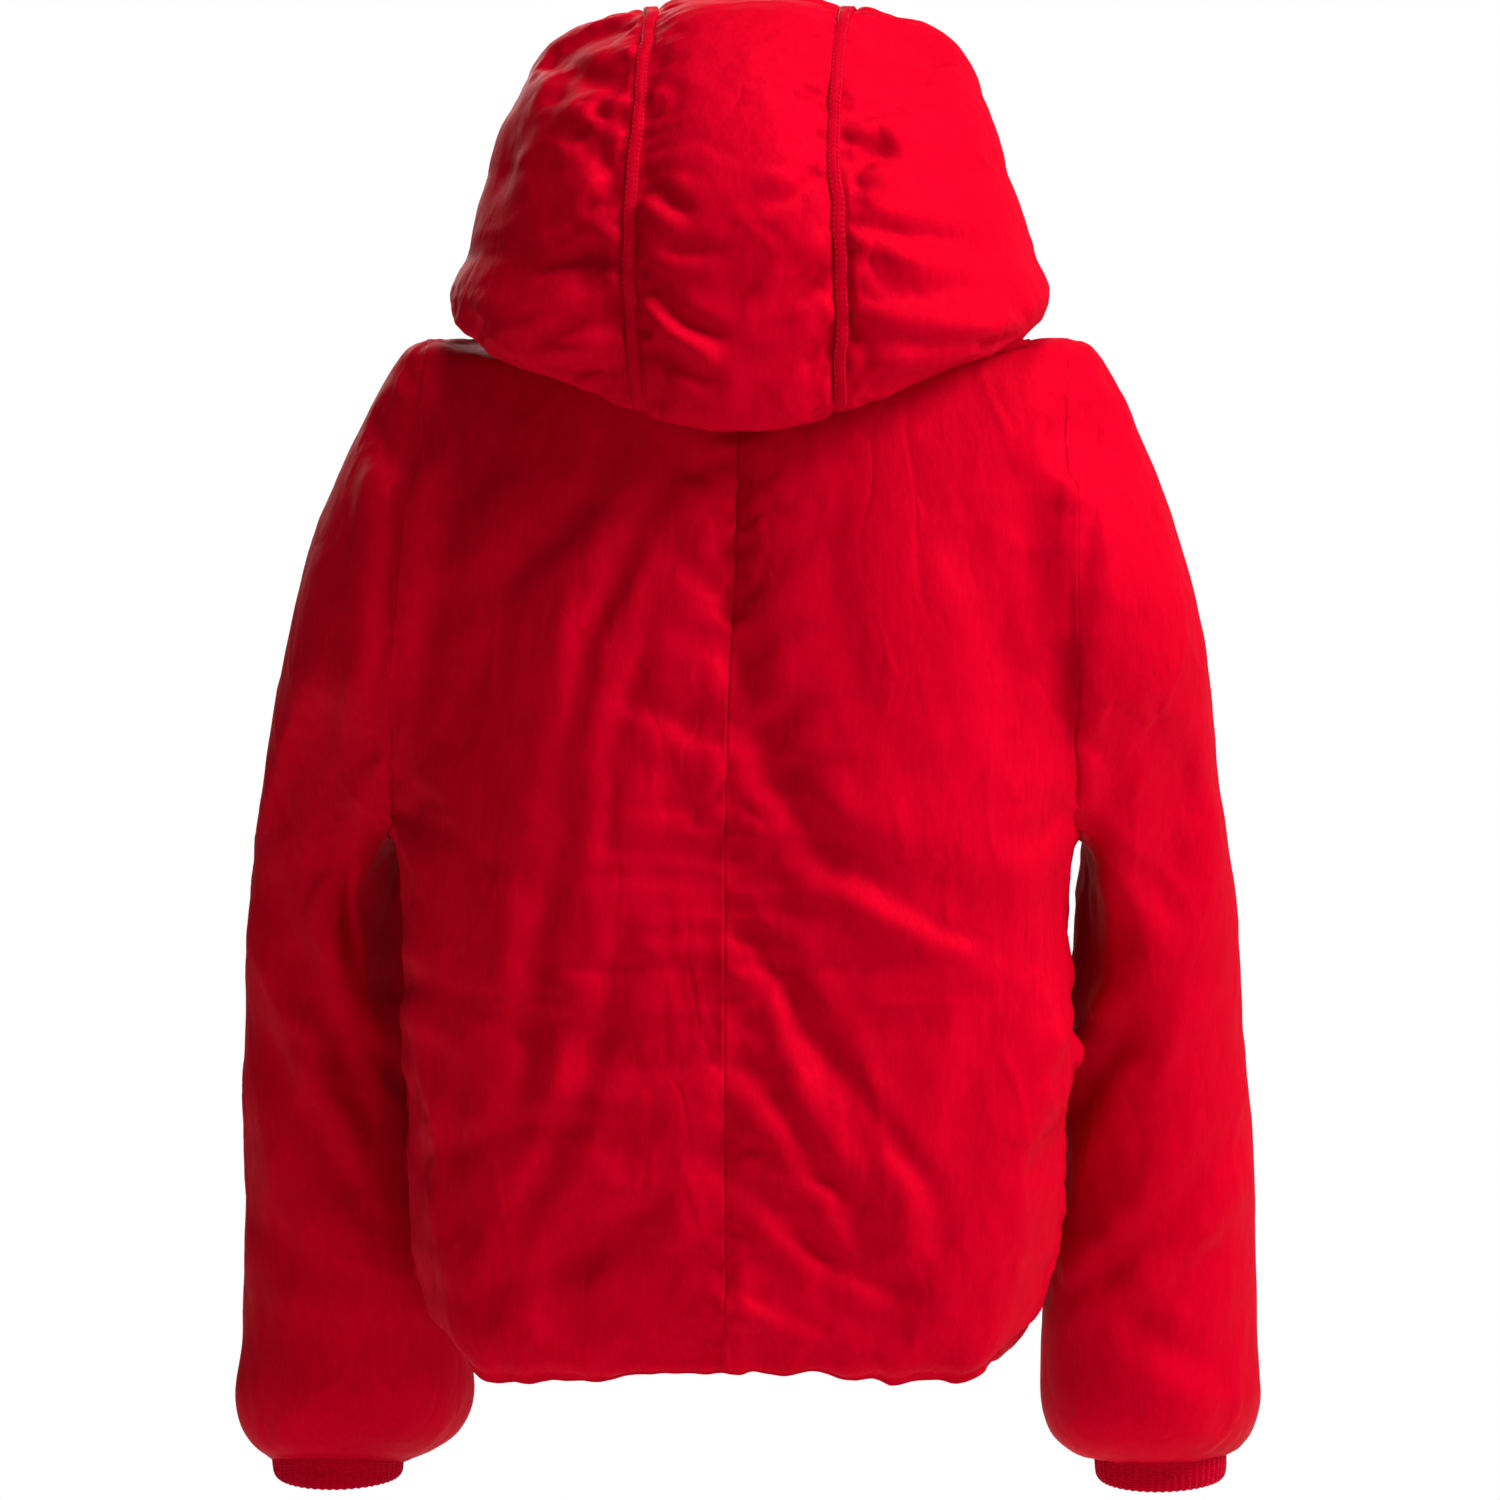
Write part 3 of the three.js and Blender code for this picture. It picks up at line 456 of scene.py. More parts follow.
pocket_frames = {}
for side, sign in (("left", 1), ("right", -1)):
    turn, place = pocket_frame(sign)
    pocket_frames[side] = Matrix.Translation(place) @ turn
pocket_inverse = {side: m.inverted() for side, m in pocket_frames.items()}
for side, m in pocket_frames.items():
    sign = 1 if side == "left" else -1
    near = [f for f in bm.faces if (middle(f) - m.translation).length < 0.12 and middle(f).y < 0]
    across, up = m.to_3x3() @ Vector((1, 0, 0)), m.to_3x3() @ Vector((0, 0, 1))
    for edge in (1, -1):
        cut(bm, [f for f in near if f.is_valid], m.translation + across * pocket_slot_half * edge, across, 1.2 * MM)
        near = [f for f in bm.faces if (middle(f) - m.translation).length < 0.12 and middle(f).y < 0]
    for edge in (1, -1):
        ends = [f for f in near if f.is_valid and abs((pocket_inverse[side] @ middle(f)).x) < 12 * MM]
        cut(bm, ends, m.translation + up * pocket_half_length * edge, up, 1.2 * MM)
        near = [f for f in bm.faces if (middle(f) - m.translation).length < 0.12 and middle(f).y < 0]


def in_pocket(p):
    for m in pocket_inverse.values():
        q = m @ Vector(p)
        if abs(q.x) < pocket_slot_half and abs(q.z) < pocket_half_length and abs(q.y) < 20 * MM:
            return True
    return False


# %% Panel labels
panel_names = ["back_left", "back_right", "front_left", "front_right", "sleeve_left", "sleeve_right"]
waste = len(panel_names)
cuff_tilt = math.radians(14)
cuff_centre = {s: Vector((s * (chest + 45 * MM), -124 * MM, -sleeve_drop)) for s in (1, -1)}
cuff_radii = (40 * MM, 35 * MM)


def cuff_reach(p, sign):
    """How far out a point lies from a cuff's axis, where 1 is the cuff's outer face."""
    q = Matrix.Rotation(cuff_tilt, 4, "X") @ (Vector(p) - cuff_centre[sign])
    return math.hypot(q.x / cuff_radii[0], q.y / cuff_radii[1]), q.z


def neck_reach(p):
    """How far out a point lies from the neck's middle line, where 1 is the collar's outer face."""
    y_mid = (zip_y(p.z) + 72 * MM) / 2
    return math.hypot(p.x / (80 * MM), (p.y - y_mid) / (72 * MM - y_mid))


bmesh.ops.remove_doubles(bm, verts=bm.verts, dist=1.0 * MM)
layer = bm.faces.layers.int.new("panel")
for f in bm.faces:
    p = middle(f)
    label = panel_names.index(body_label(p))
    if label < 4:
        in_zip = abs(p.x) < zip_half and p.y < -30 * MM
        if p.z < -length or in_zip or in_pocket(p) or (neck_reach(p) < 0.93 and p.z > -0.13):
            label = waste
    else:
        reach, up = cuff_reach(p, 1 if p.x > 0 else -1)
        if reach < 0.9 and up < 30 * MM:
            label = waste
    f[layer] = label
bmesh.ops.triangulate(bm, faces=[f for f in bm.faces if len(f.verts) > 4])
bm.to_mesh(body_mesh)
bm.free()
print("body cloth:", len(body_mesh.vertices), "points")


# %% [markdown]
# ## Blowing up the padding
# The wadding pushes the shell outwards, and the seams hold it in. That is just what Blender's cloth does with a little
# pressure and pinned seams, so the puckers along each seam come by themselves. The cloth is let grow by a few
# hundredths, like the extra cloth that a tailor eases into a padded shell. How far a point may move is capped.
# %% Cloth under pressure
def seam_points(mesh):
    """True for each point where two different panels meet, and for each edge between them."""
    labels = np.array([d.value for d in mesh.attributes["panel"].data])
    first, edge_mark = {}, np.zeros(len(mesh.edges), bool)
    keys = {tuple(sorted(e.vertices)): e.index for e in mesh.edges}
    for poly in mesh.polygons:
        for key in poly.edge_keys:
            key = tuple(sorted(key))
            if key in first and first[key] != labels[poly.index]:
                edge_mark[keys[key]] = True
            first[key] = labels[poly.index]
    marked = np.zeros(len(mesh.vertices), bool)
    marked[edges_of(mesh)[edge_mark].ravel()] = True
    return marked, edge_mark


def tidy_seams(mesh, marked, edge_mark, rounds=10):
    """Draws each seam out into an even line, then evens the cloth beside it."""
    co, edges = points_of(mesh), edges_of(mesh)
    lines = edges[edge_mark]
    count = np.bincount(lines.ravel(), minlength=len(co))
    loose = (count >= 2)[:, None]
    share = 1 / np.maximum(count, 1)[:, None]
    beside = distances(co, co[marked]) < 14 * MM
    for _ in range(rounds):
        total = np.zeros_like(co)
        np.add.at(total, lines[:, 0], co[lines[:, 1]])
        np.add.at(total, lines[:, 1], co[lines[:, 0]])
        co = np.where(loose, (co + total * share) / 2, co)
        co = relax(co, edges, 1, held=1.0 - (beside & ~marked))
    set_points(mesh, co)


def swell(mesh, pinned, pressure, growth, bending, cap, frames=18, quality=4):
    """The mesh after a short cloth simulation, with each point's move capped."""
    cloth_object = bpy.data.objects.new("swelling", mesh)
    bpy.context.scene.collection.objects.link(cloth_object)
    group = cloth_object.vertex_groups.new(name="held")
    for level in np.unique(pinned[pinned > 0]):
        group.add([int(i) for i in np.flatnonzero(pinned == level)], float(level), "REPLACE")
    modifier = cloth_object.modifiers.new("Cloth", "CLOTH")
    cloth = modifier.settings
    cloth.quality = quality
    cloth.mass = 0.3
    cloth.vertex_group_mass = "held"
    cloth.pin_stiffness = 3
    cloth.use_pressure = True
    cloth.uniform_pressure_force = pressure
    cloth.shrink_min = -growth
    cloth.tension_stiffness = 20
    cloth.compression_stiffness = 12
    cloth.shear_stiffness = 6
    cloth.bending_stiffness = bending
    cloth.effector_weights.gravity = 0
    modifier.collision_settings.use_collision = False
    before = points_of(mesh)
    scene = bpy.context.scene
    scene.frame_start, scene.frame_end = 1, frames
    for frame_number in range(1, frames + 1):
        scene.frame_set(frame_number)
    graph = bpy.context.evaluated_depsgraph_get()
    after = points_of(cloth_object.evaluated_get(graph).to_mesh())
    bpy.data.objects.remove(cloth_object)
    scene.frame_set(1)
    move = after - before
    far = np.linalg.norm(move, axis=1)
    print("cloth: moved %.1f mm at most" % (far.max() / MM))
    move *= (cap * np.tanh(far / cap) / np.maximum(far, 1e-9))[:, None]
    set_points(mesh, before + move)


# %% Swell the body
seams, seam_edges = seam_points(body_mesh)
tidy_seams(body_mesh, seams, seam_edges)
co, no = points_of(body_mesh), normals_of(body_mesh)
body_base = co.copy()
hem_line = seams & (np.abs(co[:, 2] + length) < 3 * MM)
back_seam = seams & (np.abs(co[:, 0]) < 2 * MM) & (co[:, 1] > 0)
side_seam = seams & (np.abs(co[:, 1] - seam_y) < 2 * MM) & ~hem_line & (np.abs(co[:, 0]) > 20 * MM)
zip_edge = seams & (co[:, 1] < -40 * MM) & (np.abs(np.abs(co[:, 0]) - zip_half) < 2 * MM)
pocket_edge = np.zeros(len(co), bool)
for i in np.flatnonzero(seams):
    q = pocket_inverse["left" if co[i][0] > 0 else "right"] @ Vector(co[i])
    pocket_edge[i] = abs(q.x) < pocket_slot_half + 3 * MM and abs(q.z) < pocket_half_length + 3 * MM
pocket_edge &= co[:, 1] < 0
armhole_seam = seams & ~(hem_line | back_seam | side_seam | zip_edge | pocket_edge)
armhole_seam &= co[:, 2] > armhole_bottom - 25 * MM
armhole_seam &= np.abs(co[:, 0]) > 0.18
firm = back_seam | zip_edge | pocket_edge
pinned = np.where(firm, 1.0, np.where(side_seam, 0.35, 0.0))
pinned[(co[:, 2] > -0.13) & (np.array([neck_reach(Vector(p)) for p in co]) < 1.0)] = 1.0
pull = 3.0 * MM * bell(distances(co, co[back_seam]), 7 * MM)
pull += 2.0 * MM * (1 - bell(distances(co, co[zip_edge | pocket_edge]), 22 * MM))
set_points(body_mesh, co - no * pull[:, None])
swell(body_mesh, pinned, 3.0, 0.06, 0.8, 7 * MM)
print("body swelled:", len(body_mesh.vertices), "points")

# %% Hood cloth
hood_names = ["centre", "left", "right"]
hood_mesh = remeshed([hood_form], 5 * MM, "hood")
bm = bmesh.new()
bm.from_mesh(hood_mesh)
for sign in (1, -1):
    cut(bm, [f for f in bm.faces if abs(middle(f).x * sign - hood_seam) < 20 * MM], (sign * hood_seam, 0, 0), (1, 0, 0))


def face_outline(count, grow=0.0):
    """The face opening's outline, chin to chin over the brow, as (x, z) points."""
    half_width, half_height, level, chin = 88 * MM + grow, 100 * MM + grow, 45 * MM, 62 * MM + grow
    points = [(chin, -0.13), (chin, level - 100 * MM)]
    points += [(chin + (half_width - chin) * t, level - 100 * MM * (1 - t)) for t in np.linspace(0.1, 0.9, 9)]
    turn = np.linspace(0, math.pi, 40)
    points += [(half_width * math.cos(t), level + half_height * math.sin(t)) for t in turn]
    points += [(-x, z) for x, z in reversed(points[:11])]
    points = np.array(points)
    run = np.concatenate([[0], np.cumsum(np.linalg.norm(np.diff(points, axis=0), axis=1))])
    at = np.linspace(0, run[-1], count)
    return np.stack([np.interp(at, run, points[:, 0]), np.interp(at, run, points[:, 1])], axis=1)


def in_face(x, z, grow=0.0):
    """Whether a point seen from the front lies in the face opening."""
    half_width, half_height, level, chin = 88 * MM + grow, 100 * MM + grow, 45 * MM, 62 * MM + grow
    if z > level:
        return (x / half_width) ** 2 + ((z - level) / half_height) ** 2 < 1
    limit = chin + (half_width - chin) * max(0, min(1, (z - level + 100 * MM) / (100 * MM)))
    return abs(x) < limit


layer = bm.faces.layers.int.new("panel")
for f in bm.faces:
    p = middle(f)
    label = 0 if abs(p.x) < hood_seam else (1 if p.x > 0 else 2)
    if p.y < -30 * MM and in_face(p.x, p.z):
        label = len(hood_names)
    f[layer] = label
bm.to_mesh(hood_mesh)
bm.free()
hood_seams, hood_seam_edges = seam_points(hood_mesh)
tidy_seams(hood_mesh, hood_seams, hood_seam_edges, 4)
co, no = points_of(hood_mesh), normals_of(hood_mesh)
hood_base = co.copy()
hood_strip = hood_seams & (np.abs(np.abs(co[:, 0]) - hood_seam) < 2 * MM)
strip_gap = distances(co, co[hood_strip])
set_points(hood_mesh, co - no * (1.0 * MM + 2.0 * MM * bell(strip_gap, 9 * MM))[:, None])
swell(hood_mesh, np.where(strip_gap < 5.6 * MM, 1.0, 0.0), 3.0, 0.06, 0.8, 6 * MM)
print("hood swelled:", len(hood_mesh.vertices), "points")

# %% [markdown]
# ## Folds
# Pressure alone makes a balloon. A worn jacket also hangs: long soft folds run from the shoulders and from under the
# arms. Each fold is a stroke, drawn on the jacket as seen from the back or the front, with a groove along it and a
# rounded bank on each side. Two layers of smooth noise add the loose, uneven fill of the wadding.
# %% Strokes
def shape_by_strokes(co, no, strokes, facing):
    """How far each point moves along its normal for a set of (points in mm, depth, width, bank) strokes."""
    move = np.zeros(len(co))
    seen = np.clip(no[:, 1] * facing * 2.2 + 0.35, 0, 1)
    flat = co[:, [0, 2]] / MM
    for line, depth, width, bank in strokes:
        line = np.array(line, float)
        low, high = line.min(0) - 4 * width, line.max(0) + 4 * width
        near = np.flatnonzero(((flat > low) & (flat < high)).all(1) & (seen > 0))
        if not len(near):
            continue
        q = flat[near]
        run = np.concatenate([[0], np.cumsum(np.linalg.norm(np.diff(line, axis=0), axis=1))])
        best, share, signed = np.full(len(q), 1e9), np.zeros(len(q)), np.zeros(len(q))
        for k in range(len(line) - 1):
            a, d = line[k], line[k + 1] - line[k]
            t = np.clip(((q - a) @ d) / (d @ d), 0, 1)
            off = q - a - t[:, None] * d
            gap = np.linalg.norm(off, axis=1)
            closer = gap < best
            best = np.where(closer, gap, best)
            share = np.where(closer, (run[k] + t * np.linalg.norm(d)) / run[-1], share)
            signed = np.where(closer, np.sign(d[0] * off[:, 1] - d[1] * off[:, 0]) * gap, signed)
        taper = np.sin(math.pi * np.clip(share, 0.02, 0.98)) ** 0.7
        wobble = 1 + 0.35 * noise(co[near], (0.03, 0.03, 0.03), 5)
        u = signed / width
        groove = -np.exp(-(u**2))
        ridge = bank * (np.exp(-(((u - 1.9) / 1.3) ** 2)) + 0.5 * np.exp(-(((u + 1.9) / 1.3) ** 2)))
        move[near] += depth * MM * taper * wobble * (groove + ridge) * seen[near]
    return move


# Each stroke: its line as (x, z) in mm, then how deep and how wide in mm, and how high its banks stand.
back_strokes = [
    ([(22.8, -96), (57, -135), (82.8, -207), (96, -279)], 3.2, 10, 0.9),
    ([(36, -135), (54, -207), (66, -279), (70.8, -351)], 2.2, 9, 0.8),
    ([(66, -105), (114, -147), (168, -189), (201, -207)], 2.0, 14, 0.8),
    ([(114, -111), (138, -183), (150, -255), (147, -339)], 1.8, 13, 0.7),
    ([(90, -279), (105, -363), (118.8, -447), (123, -531)], 3.0, 11, 0.9),
    ([(57, -366), (75, -447), (114, -543), (147, -621)], 2.4, 10, 0.9),
    ([(213, -270), (192, -303), (150, -339), (102, -351)], 2.4, 12, 0.9),
    ([(226.8, -417), (186, -411), (138, -429), (108, -459)], 2.6, 10, 0.9),
    ([(222, -450), (195, -483), (186, -525), (198, -567)], 3.2, 9, 1.0),
    ([(180, -435), (162, -477), (168, -531), (150, -579)], 2.4, 9, 0.9),
    ([(210, -531), (168, -513), (114, -495), (30, -501)], 2.0, 11, 0.8),
    ([(195, -621), (138, -597), (78, -567), (18, -513)], 2.2, 12, 0.9),
    ([(9, -159), (-6, -219), (-24, -279), (-60, -333)], 2.2, 10, 0.9),
    ([(9, -243), (-24, -291), (-66, -333), (-126, -357), (-187.2, -394.2)], 3.4, 13, 1.0),
    ([(-30, -333), (-78, -348), (-126, -378), (-174, -399)], 2.4, 8, 0.9),
    ([(7.2, -363), (-30, -399), (-60, -459), (-93, -537)], 3.6, 9, 1.0),
    ([(6, -450), (-30, -477), (-66, -531), (-90, -567)], 3.0, 8, 1.0),
    ([(-60, -447), (-90, -489), (-120, -531), (-129, -579)], 2.6, 8, 0.9),
    ([(7.2, -513), (-24, -537), (-60, -573), (-120, -603)], 2.8, 8, 1.0),
    ([(7.2, -591), (-30, -603), (-66, -627)], 2.2, 7, 0.9),
    ([(-189.6, -387), (-156, -447), (-135, -507), (-126, -561)], 2.2, 13, 0.8),
    ([(-187.2, -501), (-150, -537), (-114, -579), (-78, -615)], 2.2, 11, 0.9),
    ([(-108, -105), (-138, -159), (-168, -231), (-187.2, -303)], 2.0, 15, 0.7),
    ([(-42, -111), (-60, -183), (-78, -243), (-108, -303)], 1.8, 14, 0.7),
    ([(-186, -105), (-193.2, -183), (-198, -279), (-189.6, -363)], 2.6, 9, 0.9),
    ([(-210, -87), (-205.2, -159), (-207.6, -231)], 2.2, 8, 0.8),
    ([(205.2, -105), (208.8, -159), (210, -219), (219.6, -270)], 3.0, 8, 1.0),
    ([(180, -63), (198, -93), (207, -147)], 2.4, 8, 0.8),
    ([(226.8, -321), (230.4, -363), (226.8, -411)], 2.6, 8, 0.8),
    ([(240, -207), (243, -279), (240, -339), (232.8, -387)], 2.4, 12, 0.8),
    ([(289.2, -339), (270, -393), (246, -435), (226.8, -477), (211.2, -519)], 4.0, 11, 1.0),
    ([(295.2, -423), (270, -483), (240, -531), (210, -561)], 2.6, 11, 0.9),
    ([(252, -243), (270, -303), (276, -363)], 2.0, 14, 0.8),
    ([(210, -423), (240, -459), (252, -501)], 2.4, 10, 0.8),
    ([(300, -543), (270, -579), (222, -597)], 2.0, 12, 0.8),
    ([(-264, -411), (-234, -444), (-210, -474), (-186, -522)], 4.6, 10, 1.1),
    ([(-297, -498), (-270, -543), (-234, -579), (-187.2, -610.2)], 4.0, 10, 1.0),
    ([(-234, -243), (-222, -315), (-198, -375), (-187.2, -417)], 2.6, 12, 0.9),
    ([(-270, -255), (-258, -333), (-234, -399)], 2.0, 15, 0.8),
    ([(-186, -429), (-216, -441), (-246, -459)], 2.4, 8, 0.8),
    ([(-300, -561), (-264, -597), (-210, -633)], 2.2, 10, 0.9),
    ([(-210, -567), (-240, -621), (-288, -645)], 2.0, 10, 0.8),
]
front_strokes = [
    ([(-22, -190), (-60, -240), (-120, -290), (-175, -330)], 3.2, 12, 0.9),
    ([(-18, -330), (-70, -370), (-130, -390), (-190, -440)], 3.0, 11, 0.9),
    ([(-170, -180), (-150, -260), (-110, -340), (-90, -420)], 2.4, 14, 0.8),
    ([(-20, -470), (-60, -520), (-95, -600)], 2.6, 9, 0.9),
    ([(-198, -370), (-175, -420), (-165, -500)], 2.4, 10, 0.8),
    ([(-14, -560), (-60, -590), (-120, -625)], 2.4, 9, 0.9),
    ([(-14, -250), (-50, -300), (-80, -370)], 2.6, 9, 0.9),
    ([(18, -170), (70, -210), (130, -270), (185, -330)], 3.0, 13, 0.9),
    ([(16, -300), (60, -360), (90, -440)], 2.8, 10, 0.9),
    ([(16, -400), (80, -410), (150, -430), (196, -400)], 2.8, 11, 0.9),
    ([(172, -190), (160, -280), (120, -360)], 2.4, 14, 0.8),
    ([(16, -500), (50, -560), (110, -600)], 2.6, 9, 0.9),
    ([(198, -380), (178, -450), (172, -520)], 2.4, 10, 0.8),
    ([(16, -610), (70, -600), (150, -620)], 2.0, 9, 0.8),
    ([(290, -330), (250, -380), (215, -440)], 4.0, 11, 1.0),
    ([(300, -440), (262, -500), (205, -560)], 3.6, 11, 1.0),
    ([(-286, -330), (-250, -390), (-205, -450)], 4.0, 11, 1.0),
    ([(-300, -470), (-250, -520), (-200, -580)], 3.6, 11, 1.0),
    ([(230, -120), (225, -220), (215, -300)], 2.4, 13, 0.8),
    ([(-232, -120), (-222, -220), (-214, -300)], 2.4, 13, 0.8),
]


# %% Finer cloth
def refined(mesh, seam_marks, crease):
    """The mesh with each face cut in four and rounded, its seams kept fairly crisp."""
    attribute = mesh.attributes.new("crease_edge", "FLOAT", "EDGE")
    attribute.data.foreach_set("value", np.where(seam_marks, crease, 0.0).astype(np.float32))
    scratch = bpy.data.objects.new("refining", mesh)
    bpy.context.scene.collection.objects.link(scratch)
    modifier = scratch.modifiers.new("Subdivision", "SUBSURF")
    modifier.levels = 1
    fine = bpy.data.meshes.new_from_object(scratch.evaluated_get(bpy.context.evaluated_depsgraph_get()))
    bpy.data.objects.remove(scratch)
    return fine


body_fine = refined(body_mesh, seam_edges, 0.6)
hood_fine = refined(hood_mesh, hood_seam_edges, 0.3)
print("fine cloth: body", len(body_fine.vertices), "points, hood", len(hood_fine.vertices), "points")


# %% Shape the body cloth
def eased(t):
    t = np.clip(t, 0, 1)
    return t * t * (3 - 2 * t)


def wrinkles(co, size, seed):
    """Narrow ridges between broad hollows, from 0 to 1."""
    return 1 - np.minimum(1, np.abs(noise(co, size, seed)) * 2.2)


def lean(co):
    """The jacket hangs a little to its left below the shoulders. Its zip stays where it is."""
    off_front = np.maximum(eased((np.abs(co[:, 0]) - 0.155) / 0.055), eased((co[:, 1] + 0.075) / 0.06))
    co = co.copy()
    co[:, 0] += 8 * MM * eased((-co[:, 2] - 0.06) / 0.28) * off_front
    return co


def hem_corner(co):
    """How much of the hem's round corner a point takes part in: nothing at the middle, all of it at the sides."""
    return eased((np.abs(co[:, 0]) - 0.140) / 0.060) * eased(1 - (co[:, 2] + length) / 0.11)


def shape_body(mesh):
    """Folds, hanging weight, the hem's round corners and the sleeves' full ends."""
    co, no = points_of(mesh), normals_of(mesh)
    calm = 1 - bell(distances(co, body_base[zip_edge | pocket_edge]), 12 * MM)
    seam_near = distances(co, body_base[back_seam])
    arm_near = distances(co, body_base[armhole_seam])
    move = 1.15 * shape_by_strokes(co, no, back_strokes, 1) + shape_by_strokes(co, no, front_strokes, -1)
    move += 2.6 * MM * noise(co, (0.11, 0.11, 0.17), 1)
    move += 0.8 * MM * noise(co, (0.045, 0.045, 0.09), 2)
    move += 0.7 * MM * (wrinkles(co, (0.034, 0.034, 0.06), 3) - 0.5)
    move += 0.28 * MM * noise(co, (0.012, 0.012, 0.024), 4)
    move += 1.5 * MM * noise(co, (0.05, 0.05, 0.012), 6) * bell(seam_near, 17 * MM) * eased(seam_near / (4 * MM))
    move += 1.0 * MM * noise(co, (0.05, 0.05, 0.014), 7) * bell(arm_near, 15 * MM)
    move -= 1.6 * MM * bell(arm_near, 4 * MM)
    co = co + no * (move * calm)[:, None]
    side = np.sign(co[:, 0])
    yoke = bell(co[:, 2] + 0.075, 0.055) * eased((np.abs(co[:, 0]) - 0.13) / 0.07)
    co[:, 0] += side * 5 * MM * yoke
    co[:, 2] += 3 * MM * yoke
    from_hem = co[:, 2] + length
    low = np.flatnonzero(co[:, 2] < -0.5)
    on_body = np.zeros(len(co), bool)
    on_body[low] = [
        sleeve_trees[1 if p[0] > 0 else -1].find_nearest(p)[3] > body_tree.find_nearest(p)[3] for p in co[low]
    ]
    corner = hem_corner(co) * on_body
    co[:, 2] += (30 * MM * corner + 7 * MM * eased(1 - from_hem / 0.09) * on_body) * calm
    co[:, 0] -= side * 7 * MM * corner * calm
    scallop = eased(1 - from_hem / 0.03) * on_body * calm
    co[:, 2] += 1.3 * MM * noise(co, (0.016, 0.016, 0.2), 8) * scallop
    roll = np.clip(1 - from_hem / (9 * MM), 0, 1) * on_body
    inwards = np.stack([-no[:, 0], -no[:, 1], np.zeros(len(co))], axis=1)
    co += inwards * (9 * MM * (1 - np.sqrt(1 - roll**2)) * 0.9)[:, None]
    end = eased((-0.60 - co[:, 2]) / 0.085) * ~on_body * (np.abs(co[:, 0]) > 0.17)
    co[:, 2] -= 9 * MM * end
    full = bell(co[:, 2] + 0.672, 30 * MM) * (end > 0)
    centre = np.stack([side * (chest + 45 * MM), np.full(len(co), -0.122)], axis=1)
    out = co[:, :2] - centre
    out /= np.maximum(np.linalg.norm(out, axis=1), 1e-6)[:, None]
    co[:, :2] += out * (5 * MM * full)[:, None]
    return lean(co)


set_points(body_fine, shape_body(body_fine))
print("folds drawn:", len(back_strokes), "behind,", len(front_strokes), "in front")

# %% [markdown]
# The hood is three panels with a flat strip over each of its two seams. Its folds fan out from the strips, where the
# cloth is eased in, and its lower edge rolls over in one full lip.
# %% Shape the hood
hood_strokes = [
    ([(49.2, 59.4), (36, 48), (22.8, 40.2)], 2.2, 5, 1.0),
    ([(49.2, 27), (30, 19.8), (3, 19.8)], 1.8, 6, 0.9),
    ([(49.2, -0.6), (30, -21), (3, -34.2)], 2.8, 6, 1.0),
    ([(51.6, -27), (36, -46.2), (12, -58.2)], 2.2, 6, 0.9),
    ([(-57.6, 69), (-39, 54), (-15, 43.8)], 1.8, 6, 0.9),
    ([(-60, 16.2), (-42, 3), (-18, -15)], 2.4, 6, 1.0),
    ([(-63, -21), (-42, -40.2), (-12, -54)], 2.2, 7, 0.9),
    ([(60, 54), (84, 48), (108, 33)], 2.2, 6, 0.9),
    ([(57.6, 19.8), (90, 19.8), (126, 6)], 2.2, 7, 0.9),
    ([(57, -13.8), (84, -21), (114, -40.2)], 2.6, 7, 1.0),
    ([(60, -46.2), (90, -51), (117, -49.8)], 2.2, 7, 0.9),
    ([(63, 106.2), (90, 93), (114, 87)], 1.8, 7, 0.8),
    ([(-67.2, 72), (-84, 78), (-105, 73.8)], 2.2, 6, 1.0),
    ([(-67.2, 37.8), (-102, 29.4), (-141, 27)], 2.2, 7, 0.9),
    ([(-69, 3), (-108, -9), (-150, -3)], 2.4, 8, 0.9),
    ([(-70.8, -30), (-102, -34.2), (-135, -33)], 2.2, 7, 0.9),
    ([(-69.6, 105), (-93, 106.2), (-120, 97.8)], 1.8, 7, 0.8),
    ([(138, 105), (150, 81), (157.2, 51)], 2.0, 8, 0.8),
    ([(163.2, -3), (126, -33), (78, -55.8), (30, -66)], 2.4, 9, 0.8),
    ([(-78, -63), (-120, -46.2), (-168, -13.8)], 2.4, 9, 0.8),
    ([(114, 135), (90, 123), (66, 119.4)], 1.6, 7, 0.8),
]


def strip_sway(co):
    """How far the hood's two seams wander sideways behind, as eased-in cloth does."""
    return 3.2 * MM * np.sin(co[:, 2] / 0.04 + np.sign(co[:, 0])) * eased(co[:, 1] / 0.05)


def shape_hood(mesh):
    """The hood's folds, its uneven fill and the small drift of its seams."""
    co, no = points_of(mesh), normals_of(mesh)
    gap = distances(co, hood_base[hood_strip])
    calm = eased((gap - 3 * MM) / (7 * MM))
    opening = (co[:, 1] < -30 * MM) & (np.abs(co[:, 0]) < 0.11)
    move = 1.7 * shape_by_strokes(co, no, hood_strokes, 1)
    move += 1.8 * MM * noise(co, (0.07, 0.07, 0.07), 11)
    move += 0.5 * MM * noise(co, (0.032, 0.032, 0.032), 12)
    move += 0.6 * MM * (wrinkles(co, (0.045, 0.045, 0.035), 13) - 0.5)
    move += 0.22 * MM * noise(co, (0.012, 0.012, 0.012), 14)
    move += 2.3 * MM * noise(co, (0.06, 0.012, 0.012), 15) * bell(gap, 17 * MM)
    co = co + no * (move * calm * np.where(opening, 0.4, 1))[:, None]
    co[:, 0] += strip_sway(co) * bell(gap, 40 * MM)
    heights = np.array([-70, -40, -20, 0, 20, 70, 120, 150]) * MM
    widths = np.interp(co[:, 2], heights, [1.1, 1.2, 1.13, 1.04, 0.98, 0.93, 0.965, 1.0])
    co[:, 0] *= 1 + (widths - 1) * eased((np.abs(co[:, 0]) - 0.062) / 0.06)
    return co


